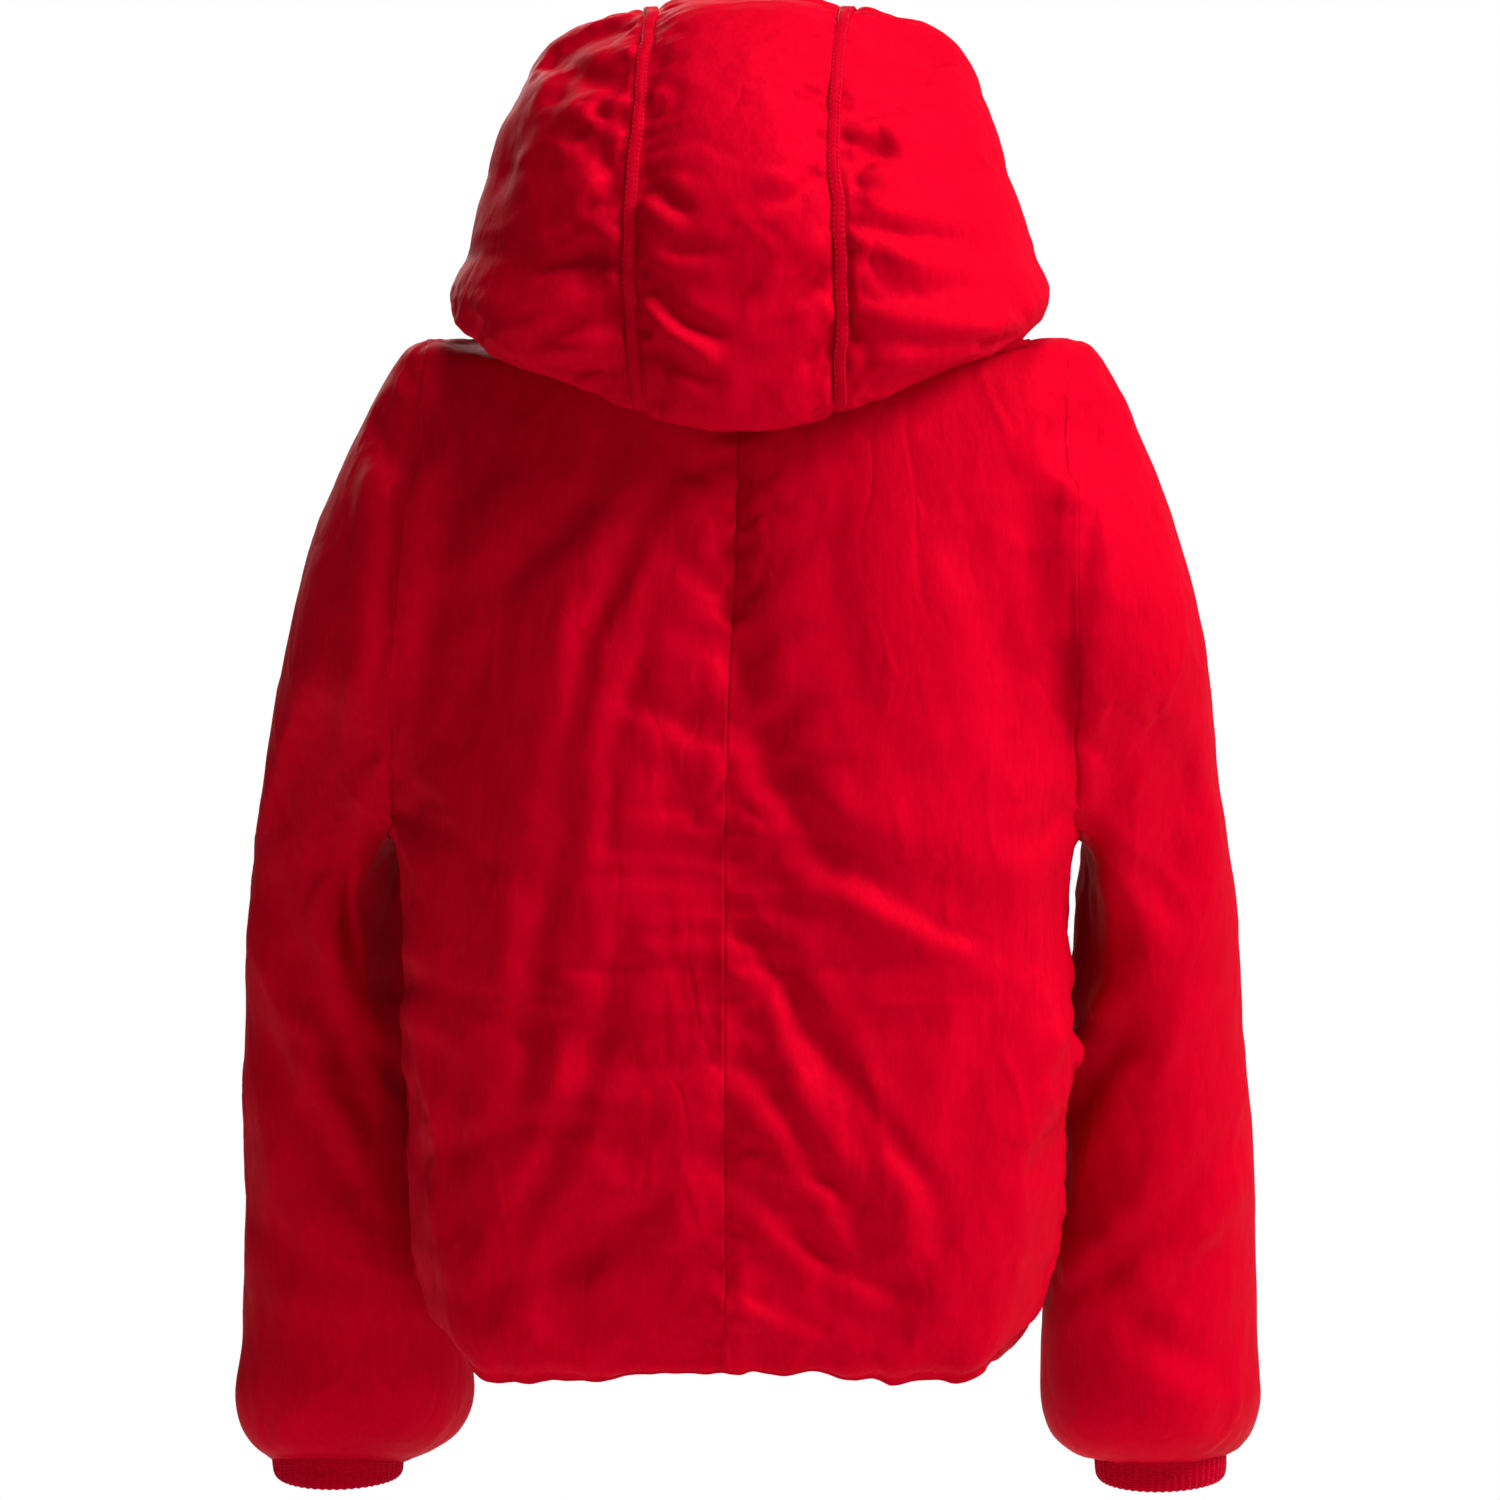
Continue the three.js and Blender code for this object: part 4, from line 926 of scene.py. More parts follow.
set_points(hood_fine, shape_hood(hood_fine))

# %% [markdown]
# ## Panels
# The shaped cloth is now parted along its seams, and each panel becomes a piece of its own. Neighbours keep the same
# points along a seam, so no light shows between them. Each gets the cloth's real thickness, laid inwards.
# %% Part the cloth into panels
pieces = {}


def own(name, piece, body, nodes):
    """Finish a piece's bookkeeping: its name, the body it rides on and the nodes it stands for."""
    piece.name = name
    pieces[name] = piece
    if body:
        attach(piece, body)
    if nodes:
        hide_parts(*nodes)
    return piece


def labelled_part(mesh, label, name):
    """One panel of a labelled mesh, as an object of its own."""
    labels = np.empty(len(mesh.polygons), np.int32)
    mesh.attributes["panel"].data.foreach_get("value", labels)
    co = points_of(mesh)
    faces = [tuple(mesh.polygons[i].vertices) for i in np.flatnonzero(labels == label)]
    used = np.unique(np.concatenate([np.array(f) for f in faces]))
    lookup = np.full(len(co), -1)
    lookup[used] = np.arange(len(used))
    piece = mesh_object(name, co[used], [tuple(lookup[list(f)]) for f in faces])
    smooth_shade(piece)
    return piece


def smooth_shade(piece):
    piece.data.polygons.foreach_set("use_smooth", np.ones(len(piece.data.polygons), bool))
    piece.data.update()


def thicken(piece, thickness, offset=-1.0):
    modifier = piece.modifiers.new("Thickness", "SOLIDIFY")
    modifier.thickness, modifier.offset, modifier.use_rim = thickness, offset, True


SHELL, LINING_PLY, FACING_PLY = 1.1 * MM, 0.7 * MM, 0.8 * MM


sleeve_rows = {}
for name, sign in (("left", 1), ("right", -1)):
    rings = [sleeve_oval(s, 48, sign) for s in smooth(sleeve_stations, 121)]
    tree = KDTree(48 * len(rings))
    for r, ring_points in enumerate(rings):
        for point in ring_points:
            tree.insert(point, r)
    tree.balance()
    sleeve_rows[name] = tree


def armhole_points(mesh, first_sleeve):
    """The points where a sleeve panel meets a body panel. The sleeves' labels are first_sleeve and the next."""
    labels = np.empty(len(mesh.polygons), np.int32)
    mesh.attributes["panel"].data.foreach_get("value", labels)
    touched = np.zeros((len(mesh.vertices), 2), bool)
    for poly in mesh.polygons:
        if labels[poly.index] < first_sleeve + 2:
            touched[list(poly.vertices), int(labels[poly.index] >= first_sleeve)] = True
    return points_of(mesh)[touched.all(axis=1)]


def follow_sleeve(piece, name, armhole):
    """Bakes a sleeve piece's place into its points and works out a weight that runs from the jacket at the armhole to
    the sleeve's own body further down. The weight is not kept or used.
    """
    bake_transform(piece)
    co, tree = points_of(piece.data), sleeve_rows[name]
    row = np.empty(len(co))
    for i, p in enumerate(co):
        near = tree.find_n(p, 8)
        row[i] = sum(r / (far + MM) for _, r, far in near) / sum(1 / (far + MM) for _, _, far in near)
    row = relax(row[:, None] / 12, edges_of(piece.data), 40)[:, 0]
    weight = eased((row - 0.9) / 4.3) * eased(distances(co, armhole) / (60 * MM))


panels = {}
shell_armhole = armhole_points(body_fine, panel_names.index("sleeve_left"))
for label, name in enumerate(panel_names):
    panels[name] = labelled_part(body_fine, label, name)
for name in ("left", "right"):
    for half in ("back", "front"):
        nodes = [f"{half}_shell_{name}", f"{half}_wadding_{name}"]
        own(f"{half}_panel_{name}", panels[f"{half}_{name}"], "jacket", nodes)
    follow_sleeve(panels[f"sleeve_{name}"], name, shell_armhole)
    nodes = [f"sleeve_{name}_shell", f"sleeve_{name}_wadding"]
    own(f"sleeve_panel_{name}", panels[f"sleeve_{name}"], None, nodes)
for label, name in enumerate(hood_names):
    panels["hood_" + name] = labelled_part(hood_fine, label, "hood_" + name)
    nodes = [f"hood_shell_{name}", f"hood_wadding_{name}"]
    own(f"hood_panel_{name}", panels["hood_" + name], "jacket", nodes)
for piece in panels.values():
    thicken(piece, SHELL)
print("panels:", ", ".join(pieces))

# %% [markdown]
# ## Hem
# The hem is the shell turned under: it rolls in, runs up inside and is caught by the lining. Its line follows the
# panels' own lower edges, so it is taken from them, point by point, and carried inwards and up.
# %% Hem facing
def hem_edges(mesh):
    """Pairs of points along the line where the four body panels end below."""
    labels = np.empty(len(mesh.polygons), np.int32)
    mesh.attributes["panel"].data.foreach_get("value", labels)
    found = {}
    for poly in mesh.polygons:
        if poly.center.z < -length + 0.07:
            for key in poly.edge_keys:
                found.setdefault(key, []).append(labels[poly.index])
    return [key for key, sides in found.items() if len(sides) == 2 and min(sides) < 4 and max(sides) == waste]


facing_rows = [(0.0, 0.0), (3.0, -0.6), (7.0, 0.8), (10.5, 5.0), (12.0, 14.0), (12.5, 30.0)]
co = points_of(body_fine)
points, faces, index = [], [], {}
for key in hem_edges(body_fine):
    for v in key:
        if v in index:
            continue
        index[v] = len(points)
        inwards = unit(np.array([-co[v, 0] * 0.8, 0.02 - co[v, 1], 0.0]))
        points += [co[v] + inwards * depth * MM + np.array([0, 0, up * MM]) for depth, up in facing_rows]
    for r in range(len(facing_rows) - 1):
        i, j = index[key[0]] + r, index[key[1]] + r
        faces.append((i, j, j + 1, i + 1))
facing = mesh_object("hem_facing", np.array(points), faces)
faced_out(facing.data)
smooth_shade(facing)
thicken(facing, FACING_PLY, 0)
own("hem_facing", facing, "jacket", ["hem_turn", "hem_elastic"])
print("hem facing:", len(points), "points")

# %% [markdown]
# ## Linings
# The lining is one thin ply inside the wadding. It follows the form from within and hangs a little loose, so it is a
# coarser copy of the same form, moved inwards, with shallow wrinkles.
# %% Body and sleeve linings
lining_depth = 15.5 * MM
lining_mesh = remeshed([body_form, *sleeve_forms.values()], 6 * MM, "lining")
co, no = points_of(lining_mesh), normals_of(lining_mesh)
co = relax(co - no * lining_depth, edges_of(lining_mesh), 8)
co -= normals_of(lining_mesh) * (1.2 * MM * (1 + noise(co, (0.05, 0.05, 0.08), 21)))[:, None]
lining_names = ["front_lining_left", "front_lining_right", "back_lining", "sleeve_left_lining", "sleeve_right_lining"]
lining_labels = np.empty(len(lining_mesh.polygons), np.int32)
for poly in lining_mesh.polygons:
    p = poly.center
    label = body_label(p)
    side = "left" if p.x > 0 else "right"
    if label[0] == "s":
        reach, up = cuff_reach(p, 1 if p.x > 0 else -1)
        found = lining_names.index("sleeve_%s_lining" % side)
        gone = reach < 1.15 and up < 60 * MM
    else:
        found = 2 if label[0] == "b" else lining_names.index("front_lining_" + side)
        by_flap = abs(p.x) < 27 * MM and p.y < -30 * MM
        gone = p.z < -length + 24 * MM or by_flap or (neck_reach(p) < 0.97 and p.z > -0.13)
    lining_labels[poly.index] = len(lining_names) if gone else found
lining_mesh.attributes.new("panel", "INT", "FACE").data.foreach_set("value", lining_labels)
of_torso = np.zeros(len(co), bool)
for poly in lining_mesh.polygons:
    if body_label(poly.center)[0] != "s":
        of_torso[list(poly.vertices)] = True
co[:, 2] += 36 * MM * eased((np.abs(co[:, 0]) - 0.125) / 0.055) * eased(1 - (co[:, 2] + length) / 0.12) * of_torso
set_points(lining_mesh, lean(co))
lining_armhole = armhole_points(lining_mesh, 3)
for label, name in enumerate(lining_names):
    piece = labelled_part(lining_mesh, label, name)
    node = name
    if name[0] == "s":
        follow_sleeve(piece, "left" if "left" in name else "right", lining_armhole)
        own(name + "_cloth", piece, None, [node])
    else:
        own(name + "_cloth", piece, "jacket", [node])
    thicken(piece, LINING_PLY)
    subdivide = piece.modifiers.new("Subdivision", "SUBSURF")
    subdivide.levels = subdivide.render_levels = 1
print("linings:", len(lining_names))

# %% Hood lining
hood_lining_mesh = remeshed([hood_form], 7 * MM, "hood lining")
co, no = points_of(hood_lining_mesh), normals_of(hood_lining_mesh)
centres = [p.center for p in hood_lining_mesh.polygons]
labels = np.array([int(c.y < -30 * MM and in_face(c.x, c.z, -1 * MM)) for c in centres])


def inside_form(p, tree, margin=0.0):
    place, normal, _, gap = tree.find_nearest(p)
    return (Vector(p) - place).dot(normal) < -margin


for poly in hood_lining_mesh.polygons:
    if poly.center.z < 0.02 and inside_form(poly.center, body_outward, 4 * MM):
        labels[poly.index] = 1
hood_lining_mesh.attributes.new("panel", "INT", "FACE").data.foreach_set("value", labels.astype(np.int32))
lining_edge, lining_edge_lines = seam_points(hood_lining_mesh)
tidy_seams(hood_lining_mesh, lining_edge, lining_edge_lines, 16)
co, no = points_of(hood_lining_mesh), normals_of(hood_lining_mesh)
co = relax(co - no * lining_depth, edges_of(hood_lining_mesh), 6)
co += normals_of(hood_lining_mesh) * (1.2 * MM * noise(co, (0.05, 0.05, 0.05), 22))[:, None]
set_points(hood_lining_mesh, co)
hood_lining = labelled_part(hood_lining_mesh, 0, "hood_lining_cloth")
own("hood_lining_cloth", hood_lining, "jacket", ["hood_lining"])
thicken(hood_lining, LINING_PLY)

# %% [markdown]
# ## Ribbons
# Seam strips, the binding round the face, zip tapes and the hanger loop are all one thing: a flat band that follows a
# line. A band is swept along its line with a small profile, which gives real edges that catch the light.
# %% Sweep a band along a line
def evened(path, step):
    """A path's points at even steps."""
    path = np.asarray(path, float)
    run = np.concatenate([[0], np.cumsum(np.linalg.norm(np.diff(path, axis=0), axis=1))])
    at = np.linspace(0, run[-1], max(2, int(run[-1] / step)))
    return np.stack([np.interp(at, run, path[:, k]) for k in range(3)], axis=1)


def smoothed(path, rounds, closed=False):
    path = np.array(path, float)
    for _ in range(rounds):
        middle_points = (np.roll(path, 1, 0) + np.roll(path, -1, 0)) / 2
        if not closed:
            middle_points[0], middle_points[-1] = path[0], path[-1]
        path = (path + middle_points) / 2
    return path


def swept(name, path, outwards, profile, closed=False):
    """A closed profile of (across, out) points carried along a path, whose `outwards` gives the band's outer side."""
    path, outwards = np.asarray(path, float), np.asarray(outwards, float)
    if closed:
        along = unit(np.roll(path, -1, 0) - np.roll(path, 1, 0))
    else:
        along = unit(np.gradient(path, axis=0))
    across = unit(np.cross(outwards, along))
    out = unit(np.cross(along, across))
    profile = np.array(profile)
    n, m = len(path), len(profile)
    points = path[:, None, :] + across[:, None, :] * profile[None, :, 0:1] + out[:, None, :] * profile[None, :, 1:2]
    faces = []
    for i in range(n if closed else n - 1):
        j = (i + 1) % n
        for k in range(m):
            l = (k + 1) % m
            faces.append((i * m + k, j * m + k, j * m + l, i * m + l))
    if not closed:
        faces.append(tuple(range(m)))
        faces.append(tuple((n - 1) * m + k for k in reversed(range(m))))
    band = mesh_object(name, points.reshape(-1, 3), faces)
    faced_out(band.data)
    smooth_shade(band)
    return band, across, out


def flat_profile(width, thickness, edge=0.35 * MM):
    """A strip's section: flat, with slightly rounded edges."""
    w, t = width / 2, thickness
    return [(-w, 0), (-w, t - edge), (-w + edge, t), (-w * 0.55, t * 1.08), (0, t * 1.1), (w * 0.55, t * 1.08),
            (w - edge, t), (w, t - edge), (w, 0)]


def joined(name, objects):
    """Several objects' meshes as one."""
    bm = bmesh.new()
    for item in objects:
        mesh = item.data
        bm.from_mesh(mesh)
        drop(item)
    whole = mesh_object(name, [], [])
    bm.to_mesh(whole.data)
    bm.free()
    smooth_shade(whole)
    return whole


def stitches(path, out, name, pitch=3.4 * MM, stitch=2.4 * MM, radius=0.28 * MM):
    """A row of thread stitches along a path: short rounded bars that dip in at both ends."""
    path, out = np.asarray(path, float), np.asarray(out, float)
    run = np.concatenate([[0], np.cumsum(np.linalg.norm(np.diff(path, axis=0), axis=1))])
    starts = np.arange(1.5 * MM, run[-1] - stitch, pitch)
    shape = [(0.0, -0.25), (0.2, 0.32), (0.5, 0.5), (0.8, 0.32), (1.0, -0.25)]

    def at(values, where):
        return np.stack([np.interp(where, run, values[:, k]) for k in range(3)], axis=1)

    points, faces, count = [], [], len(starts)
    for share, height in shape:
        place = at(path, starts + share * stitch)
        normal = unit(at(out, starts + share * stitch))
        ahead = unit(at(path, starts + share * stitch + 0.5 * MM) - at(path, starts + share * stitch - 0.5 * MM))
        across = np.cross(ahead, normal)
        for a, b in ((1, 0), (0, 1), (-1, 0), (0, -1)):
            points.append(place + radius * (across * a + normal * (b + height * 1.4)))
    rows = np.array(points)
    for n in range(count):
        for s in range(len(shape) - 1):
            for k in range(4):
                a, b = s * 4 + k, s * 4 + (k + 1) % 4
                faces.append((a * count + n, b * count + n, (b + 4) * count + n, (a + 4) * count + n))
        last = (len(shape) - 1) * 4
        faces.append(tuple(k * count + n for k in (3, 2, 1, 0)))
        faces.append(tuple((last + k) * count + n for k in range(4)))
    row = mesh_object(name, rows.reshape(-1, 3), faces)
    smooth_shade(row)
    return row


# %% Hood strips and their stitching
hood_faces = [tuple(p.vertices) for p in hood_fine.polygons]
hood_surface = BVHTree.FromPolygons([tuple(p) for p in points_of(hood_fine)], hood_faces)
strip_rows = []
for name, sign in (("left", 1), ("right", -1)):
    turn = np.radians(np.arange(-52, 232, 1.0))
    path, outs = [], []
    for angle in turn:
        ray = Vector((0, -math.cos(angle), math.sin(angle)))
        start = Vector((sign * hood_seam, 0.03, 0.03)) + ray * 0.4
        hit, normal, _, _ = hood_surface.ray_cast(start, -ray)
        if hit is None:
            continue
        if hit.y < -30 * MM and in_face(hit.x, hit.z, 1.5 * MM):
            continue
        drift = strip_sway(np.array([hit]))[0]
        path.append((hit.x + drift, hit.y, hit.z))
        outs.append(normal)
    path = evened(smoothed(path, 5), 1.1 * MM)
    path = np.array([p for p in path if not (p[2] < -0.03 and p[1] < 0.1)])
    outs = np.array([hood_surface.find_nearest(p)[1] for p in path])
    outs = unit(smoothed(outs, 30))
    outs[:, 0] *= 0.3
    run = np.arange(len(path)) * 1.1 * MM
    sway = 0.8 * MM * noise(path, (0.1, 0.02, 0.02), 51)
    path = path + unit(outs) * (0.3 * MM + 0.7 * MM * noise(path, (0.1, 0.016, 0.016), 52))[:, None]
    path[:, 0] += sway
    band, across, out = swept("hood_strip_" + name, path, outs, flat_profile(8 * MM, 2.2 * MM, 0.7 * MM))
    co = points_of(band.data)
    edge_share = np.tile([0, 1, 1, 0.35, 0, 0.35, 1, 1, 0], len(path))
    dip = 0.5 * (1 + np.cos(2 * math.pi * np.repeat(run, 9) / (3.4 * MM)))
    co -= np.repeat(out, 9, axis=0) * (0.8 * MM * dip * edge_share)[:, None]
    set_points(band.data, co)
    rows = [stitches(path + across * s * 2.7 * MM + out * 2.0 * MM, out, "row", radius=0.36 * MM) for s in (1, -1)]
    own("hood_strip_" + name, band, "jacket", ["hood_seam_tape_" + name])
    strip_rows += rows
own("hood_strip_stitches", joined("hood_strip_stitches", strip_rows), "jacket", [])
print("hood strips laid")

# %% [markdown]
# ## The face opening
# The hood's front edge is bound with a folded band: it starts on the shell, goes round the padded edge and ends on the
# lining. The band's line is the opening's outline, laid on the hood's own surface.
# %% Binding
outline = face_outline(220, 1.0 * MM)
path = []
for x, z in outline:
    hit, normal, _, _ = hood_surface.ray_cast(Vector((x, -0.4, z)), Vector((0, 1, 0)))
    if hit is not None and hit.y < 0:
        path.append(hit)
path = evened(smoothed([p for p in path if not inside_form(p, body_outward, 10 * MM)], 12), 3 * MM)
outs = np.tile([0.0, -1.0, 0.0], (len(path), 1))
centre = np.array([0, 0, 0.045])
binding_section = [(-6, -1.0), (-6.2, 0.6), (-3, 1.6), (0.5, 1.2), (2.4, -2), (2.8, -8), (2.2, -14), (-1, -16.6),
                   (-5, -16.8), (-5, -15.6), (-1.4, -15.2), (0.6, -12), (1.0, -7), (0.6, -2), (-0.8, -0.4), (-3, 0.2)]
binding, across, out = swept("hood_binding_band", path, outs, [(a * MM, b * MM) for a, b in binding_section])
inner_side = np.sign((across * (centre - path)).sum(1).mean())
if inner_side < 0:
    drop(binding)
    binding, across, out = swept("hood_binding_band", path, outs, [(-a * MM, b * MM) for a, b in binding_section])
    across = -across
own("hood_binding_band", binding, "jacket", ["hood_binding"])
edge_row = stitches(path - across * 4.4 * MM + out * 1.2 * MM, out, "hood_binding_stitches")
own("hood_binding_stitches", edge_row, "jacket", [])

# %% [markdown]
# ## Collar
# A short padded stand-up collar closes the neck under the hood. It is a band with a rolled top edge: shell outside,
# lining inside, and open at the front where the zip runs through it.
# %% Collar band
collar_half, collar_back = 80 * MM, 72 * MM


def collar_ring(v, inset, count=121):
    """One row of the collar, from its left front edge round the back to its right front edge."""
    front_z, back_z = (-115 + 127 * v) * MM, (-15 + 67 * v) * MM
    lean = 6 * MM * max(0.0, (v - 0.43) / 0.8)
    a, b = (0, zip_y(front_z) + inset, front_z), (0, collar_back - lean - inset, back_z)
    whole = oval(a, b, (1, 0, 0), collar_half - lean - inset, 360, flat=math.radians(22.5))
    start = next(i for i in range(270, 360) if whole[i][0] >= zip_half)
    end = 540 - start
    order = [(start + k) % 360 for k in range(end + 360 - start + 1)]
    ring_points = whole[order]
    run = np.concatenate([[0], np.cumsum(np.linalg.norm(np.diff(ring_points, axis=0), axis=1))])
    at = np.linspace(0, run[-1], count)
    return np.stack([np.interp(at, run, ring_points[:, k]) for k in range(3)], axis=1)


def open_sheet(name, rows):
    """A sheet through rows of equal length."""
    rows = np.array(rows)
    m = rows.shape[1]
    starts = [r * m + i for r in range(len(rows) - 1) for i in range(m - 1)]
    faces = [(k, k + 1, k + m + 1, k + m) for k in starts]
    sheet = mesh_object(name, rows.reshape(-1, 3), faces)
    smooth_shade(sheet)
    return sheet


rows = []
for v in np.linspace(-0.04, 0.96, 46):
    puff = 2.2 * MM * math.sin(math.pi * np.clip(v, 0, 1)) ** 0.5
    ring_points = collar_ring(v, 0)
    middle_line = np.array([0, -0.015, 0])
    away = ring_points - middle_line
    away[:, 2] = 0
    away = unit(away)
    edge = eased(np.minimum(np.arange(121), 120 - np.arange(121)) / 6.0)[:, None]
    crease = noise(ring_points, (0.02, 0.02, 0.03), 31) + 0.6 * noise(ring_points, (0.009, 0.009, 0.03), 32)
    rows.append(ring_points + away * (puff + crease[:, None] * MM) * edge)
for turn in np.linspace(0, math.pi / 2, 6)[1:]:
    inset = 4.0 * MM * (1 - math.cos(turn))
    top = collar_ring(0.96, inset)
    top[:, 2] += 4.0 * MM * math.sin(turn)
    rows.append(top)
collar = open_sheet("collar_panel", rows)
thicken(collar, SHELL, -1.0)
own("collar_panel", collar, "jacket", ["collar_shell", "collar_wadding"])
rows = [rows[-1] + np.array([0, 0, -0.4 * MM])]
for turn in np.linspace(math.pi / 2, math.pi, 5)[1:]:
    top = collar_ring(0.96, 4.0 * MM * (1 - math.cos(turn)))
    top[:, 2] += 4.0 * MM * math.sin(turn)
    rows.append(top)
for v in np.linspace(0.93, 0.0, 30):
    ring_points = collar_ring(v, 8.2 * MM)
    rows.append(ring_points + 0.8 * MM * noise(ring_points, (0.03, 0.03, 0.03), 33)[:, None] * np.array([1, 1, 0]))
collar_inner = open_sheet("collar_lining_cloth", rows)
thicken(collar_inner, LINING_PLY, 1.0)
own("collar_lining_cloth", collar_inner, "jacket", ["collar_lining"])
print("collar: outer edge %.0f mm round" % (np.linalg.norm(np.diff(collar_ring(0.9, 0), axis=0), axis=1).sum() / MM))

# %% [markdown]
# ## Cuffs
# The cuffs are rib knit: a tube of upright ribs that grips the wrist, doubled over at its open end. Ribs this coarse
# show from far off, so they are real geometry. The fine stitch of the knit is left to the material.
# %% Rib-knit cuffs
rib_count = 52
rib_height = 0.85 * MM


def knit_cuff(name, sign):
    columns = rib_count * 8
    turn = np.arange(columns) * 2 * math.pi / columns
    wave = np.cos(turn * rib_count)
    rib = np.sign(wave) * np.abs(wave) ** 0.6
    # Each row: its height in mm, how far it stands out in mm, and how strong its ribs are.
    outer = [(38, -2.2, 0.5), (30, -1.4, 0.8), (22, -0.6, 0.9), (12, 0.0, 1), (2, 0.3, 1), (-8, 0.4, 1),
             (-16, 0.2, 1), (-20.5, -0.2, 1), (-22.8, -0.8, 0.9), (-23.8, -1.6, 0.6)]
    inner = [(-23.6, -2.6, 0.5), (-22, -3.2, 0.7), (-14, -3.4, 0.8), (-2, -3.3, 0.8), (14, -3.4, 0.7),
             (30, -4.2, 0.5), (38, -5.0, 0.3)]
    back = Matrix.Translation(cuff_centre[sign]) @ Matrix.Rotation(-cuff_tilt, 4, "X")
    rows = []
    for k, (up, grow, strength) in enumerate(outer + inner):
        side = 1 if k < len(outer) else -0.8
        radial = grow * MM + side * strength * rib_height * 0.5 * rib - (rib_height * 0.5 if side > 0 else 0)
        sway = 0.5 * MM * np.sin(3 * turn + up * 0.08)
        x, y = (cuff_radii[0] + radial + sway) * np.cos(turn), (cuff_radii[1] + radial + sway) * np.sin(turn)
        rows.append(np.stack([x, y, np.full(columns, up * MM) + 0.35 * MM * rib * (strength < 1)], axis=1))
    points = np.vstack(rows)
    points = lean((np.array(back.to_3x3()) @ points.T).T + np.array(back.translation))
    faces = []
    for r in range(len(rows)):
        s = (r + 1) % len(rows)
        for i in range(columns):
            j = (i + 1) % columns
            faces.append((r * columns + i, r * columns + j, s * columns + j, s * columns + i))
    piece = mesh_object(name, points, faces)
    faced_out(piece.data)
    smooth_shade(piece)
    return piece


for name, sign in (("left", 1), ("right", -1)):
    own("cuff_knit_" + name, knit_cuff("cuff_knit_" + name, sign), "sleeve_" + name, ["cuff_" + name])
print("cuffs: %d ribs, %.1f mm apart" % (rib_count, 2 * math.pi * 37.5 / rib_count))

# %% [markdown]
# ## Zips
# A zip is two woven tapes, each with a row of moulded teeth gripping its edge. One tooth is modelled with its waist and
# its rounded head, then repeated up both rows, half a step apart, so that the heads lie in each other's gaps.
# %% Zip tapes and teeth
tooth_row_out, tooth_row_in = 0.5 * MM, 2.9 * MM
tape_out = 1.35 * MM
zip_frame = Matrix.Translation((0, zip_y(0), 0)) @ Matrix.Rotation(-math.atan2(hem_front - neck_front, length), 4, "X")
zip_low, zip_high = -646 * MM, 6 * MM


def placed(frame_matrix, points):
    m = np.array(frame_matrix)
    return np.asarray(points) @ m[:3, :3].T + m[:3, 3]


def tooth(sign):
    """One tooth's outline across the zip, for the row on one side: a root on the tape, a waist and a round head."""
    outline_points = [(2.6, 0.78), (1.5, 0.72), (0.75, 0.42), (0.2, 0.62), (-0.35, 0.7), (-0.75, 0.45), (-0.85, 0.0)]
    whole = outline_points + [(x, -z) for x, z in reversed(outline_points[:-1])]
    return [(x * sign * MM, z * MM) for x, z in whole]


def tooth_row(name, frame_matrix, low, high, sign, pitch=3.1 * MM):
    """A row of teeth, thick in the middle and chamfered to both faces."""
    outline_points = np.array(tooth(sign))
    m = len(outline_points)
    middle_depth = (tooth_row_out + tooth_row_in) / 2
    half_depth = (tooth_row_in - tooth_row_out) / 2
    levels = [(-1.0, 0.8), (-0.72, 1.0), (0.72, 1.0), (1.0, 0.8)]
    centre_x = outline_points[:, 0].mean()
    points, faces = [], []
    places = np.arange(low + (0 if sign > 0 else pitch / 2), high, pitch)
    for place in places:
        start = len(points)
        for depth, scale in levels:
            for x, z in outline_points:
                points.append(((x - centre_x) * scale + centre_x, middle_depth + depth * half_depth, place + z * scale))
        for r in range(3):
            for i in range(m):
                j = (i + 1) % m
                faces.append((start + r * m + i, start + r * m + j, start + (r + 1) * m + j, start + (r + 1) * m + i))
        faces.append(tuple(start + i for i in reversed(range(m))))
        faces.append(tuple(start + 3 * m + i for i in range(m)))
    row = mesh_object(name, placed(frame_matrix, points), faces)
    faced_out(row.data)
    return row


def tape_strip(name, frame_matrix, low, high, x_from, x_to):
    """A woven tape: flat, with a thicker cord along the edge that holds the teeth, and a soft ripple."""
    z = np.arange(low, high, 4 * MM)
    section = [(0.0, -0.9), (0.12, -0.5), (0.2, 0.0), (1.0, 0.0), (1.0, 0.7), (0.2, 0.7), (0.12, 1.2), (0.0, 1.6)]
    points, faces, m = [], [], len(section)
    for k, height in enumerate(z):
        for share, depth in section:
            x = x_from + (x_to - x_from) * share
            ripple = 0.25 * MM * math.sin(height / (9 * MM)) * max(0, share - 0.4)
            points.append((x, tape_out + depth * MM + ripple, height))
        if k:
            for i in range(m):
                j = (i + 1) % m
                faces.append(((k - 1) * m + i, (k - 1) * m + j, k * m + j, k * m + i))
    faces += [tuple(range(m)), tuple((len(z) - 1) * m + i for i in reversed(range(m)))]
    strip = mesh_object(name, placed(frame_matrix, points), faces)
    faced_out(strip.data)
    return strip


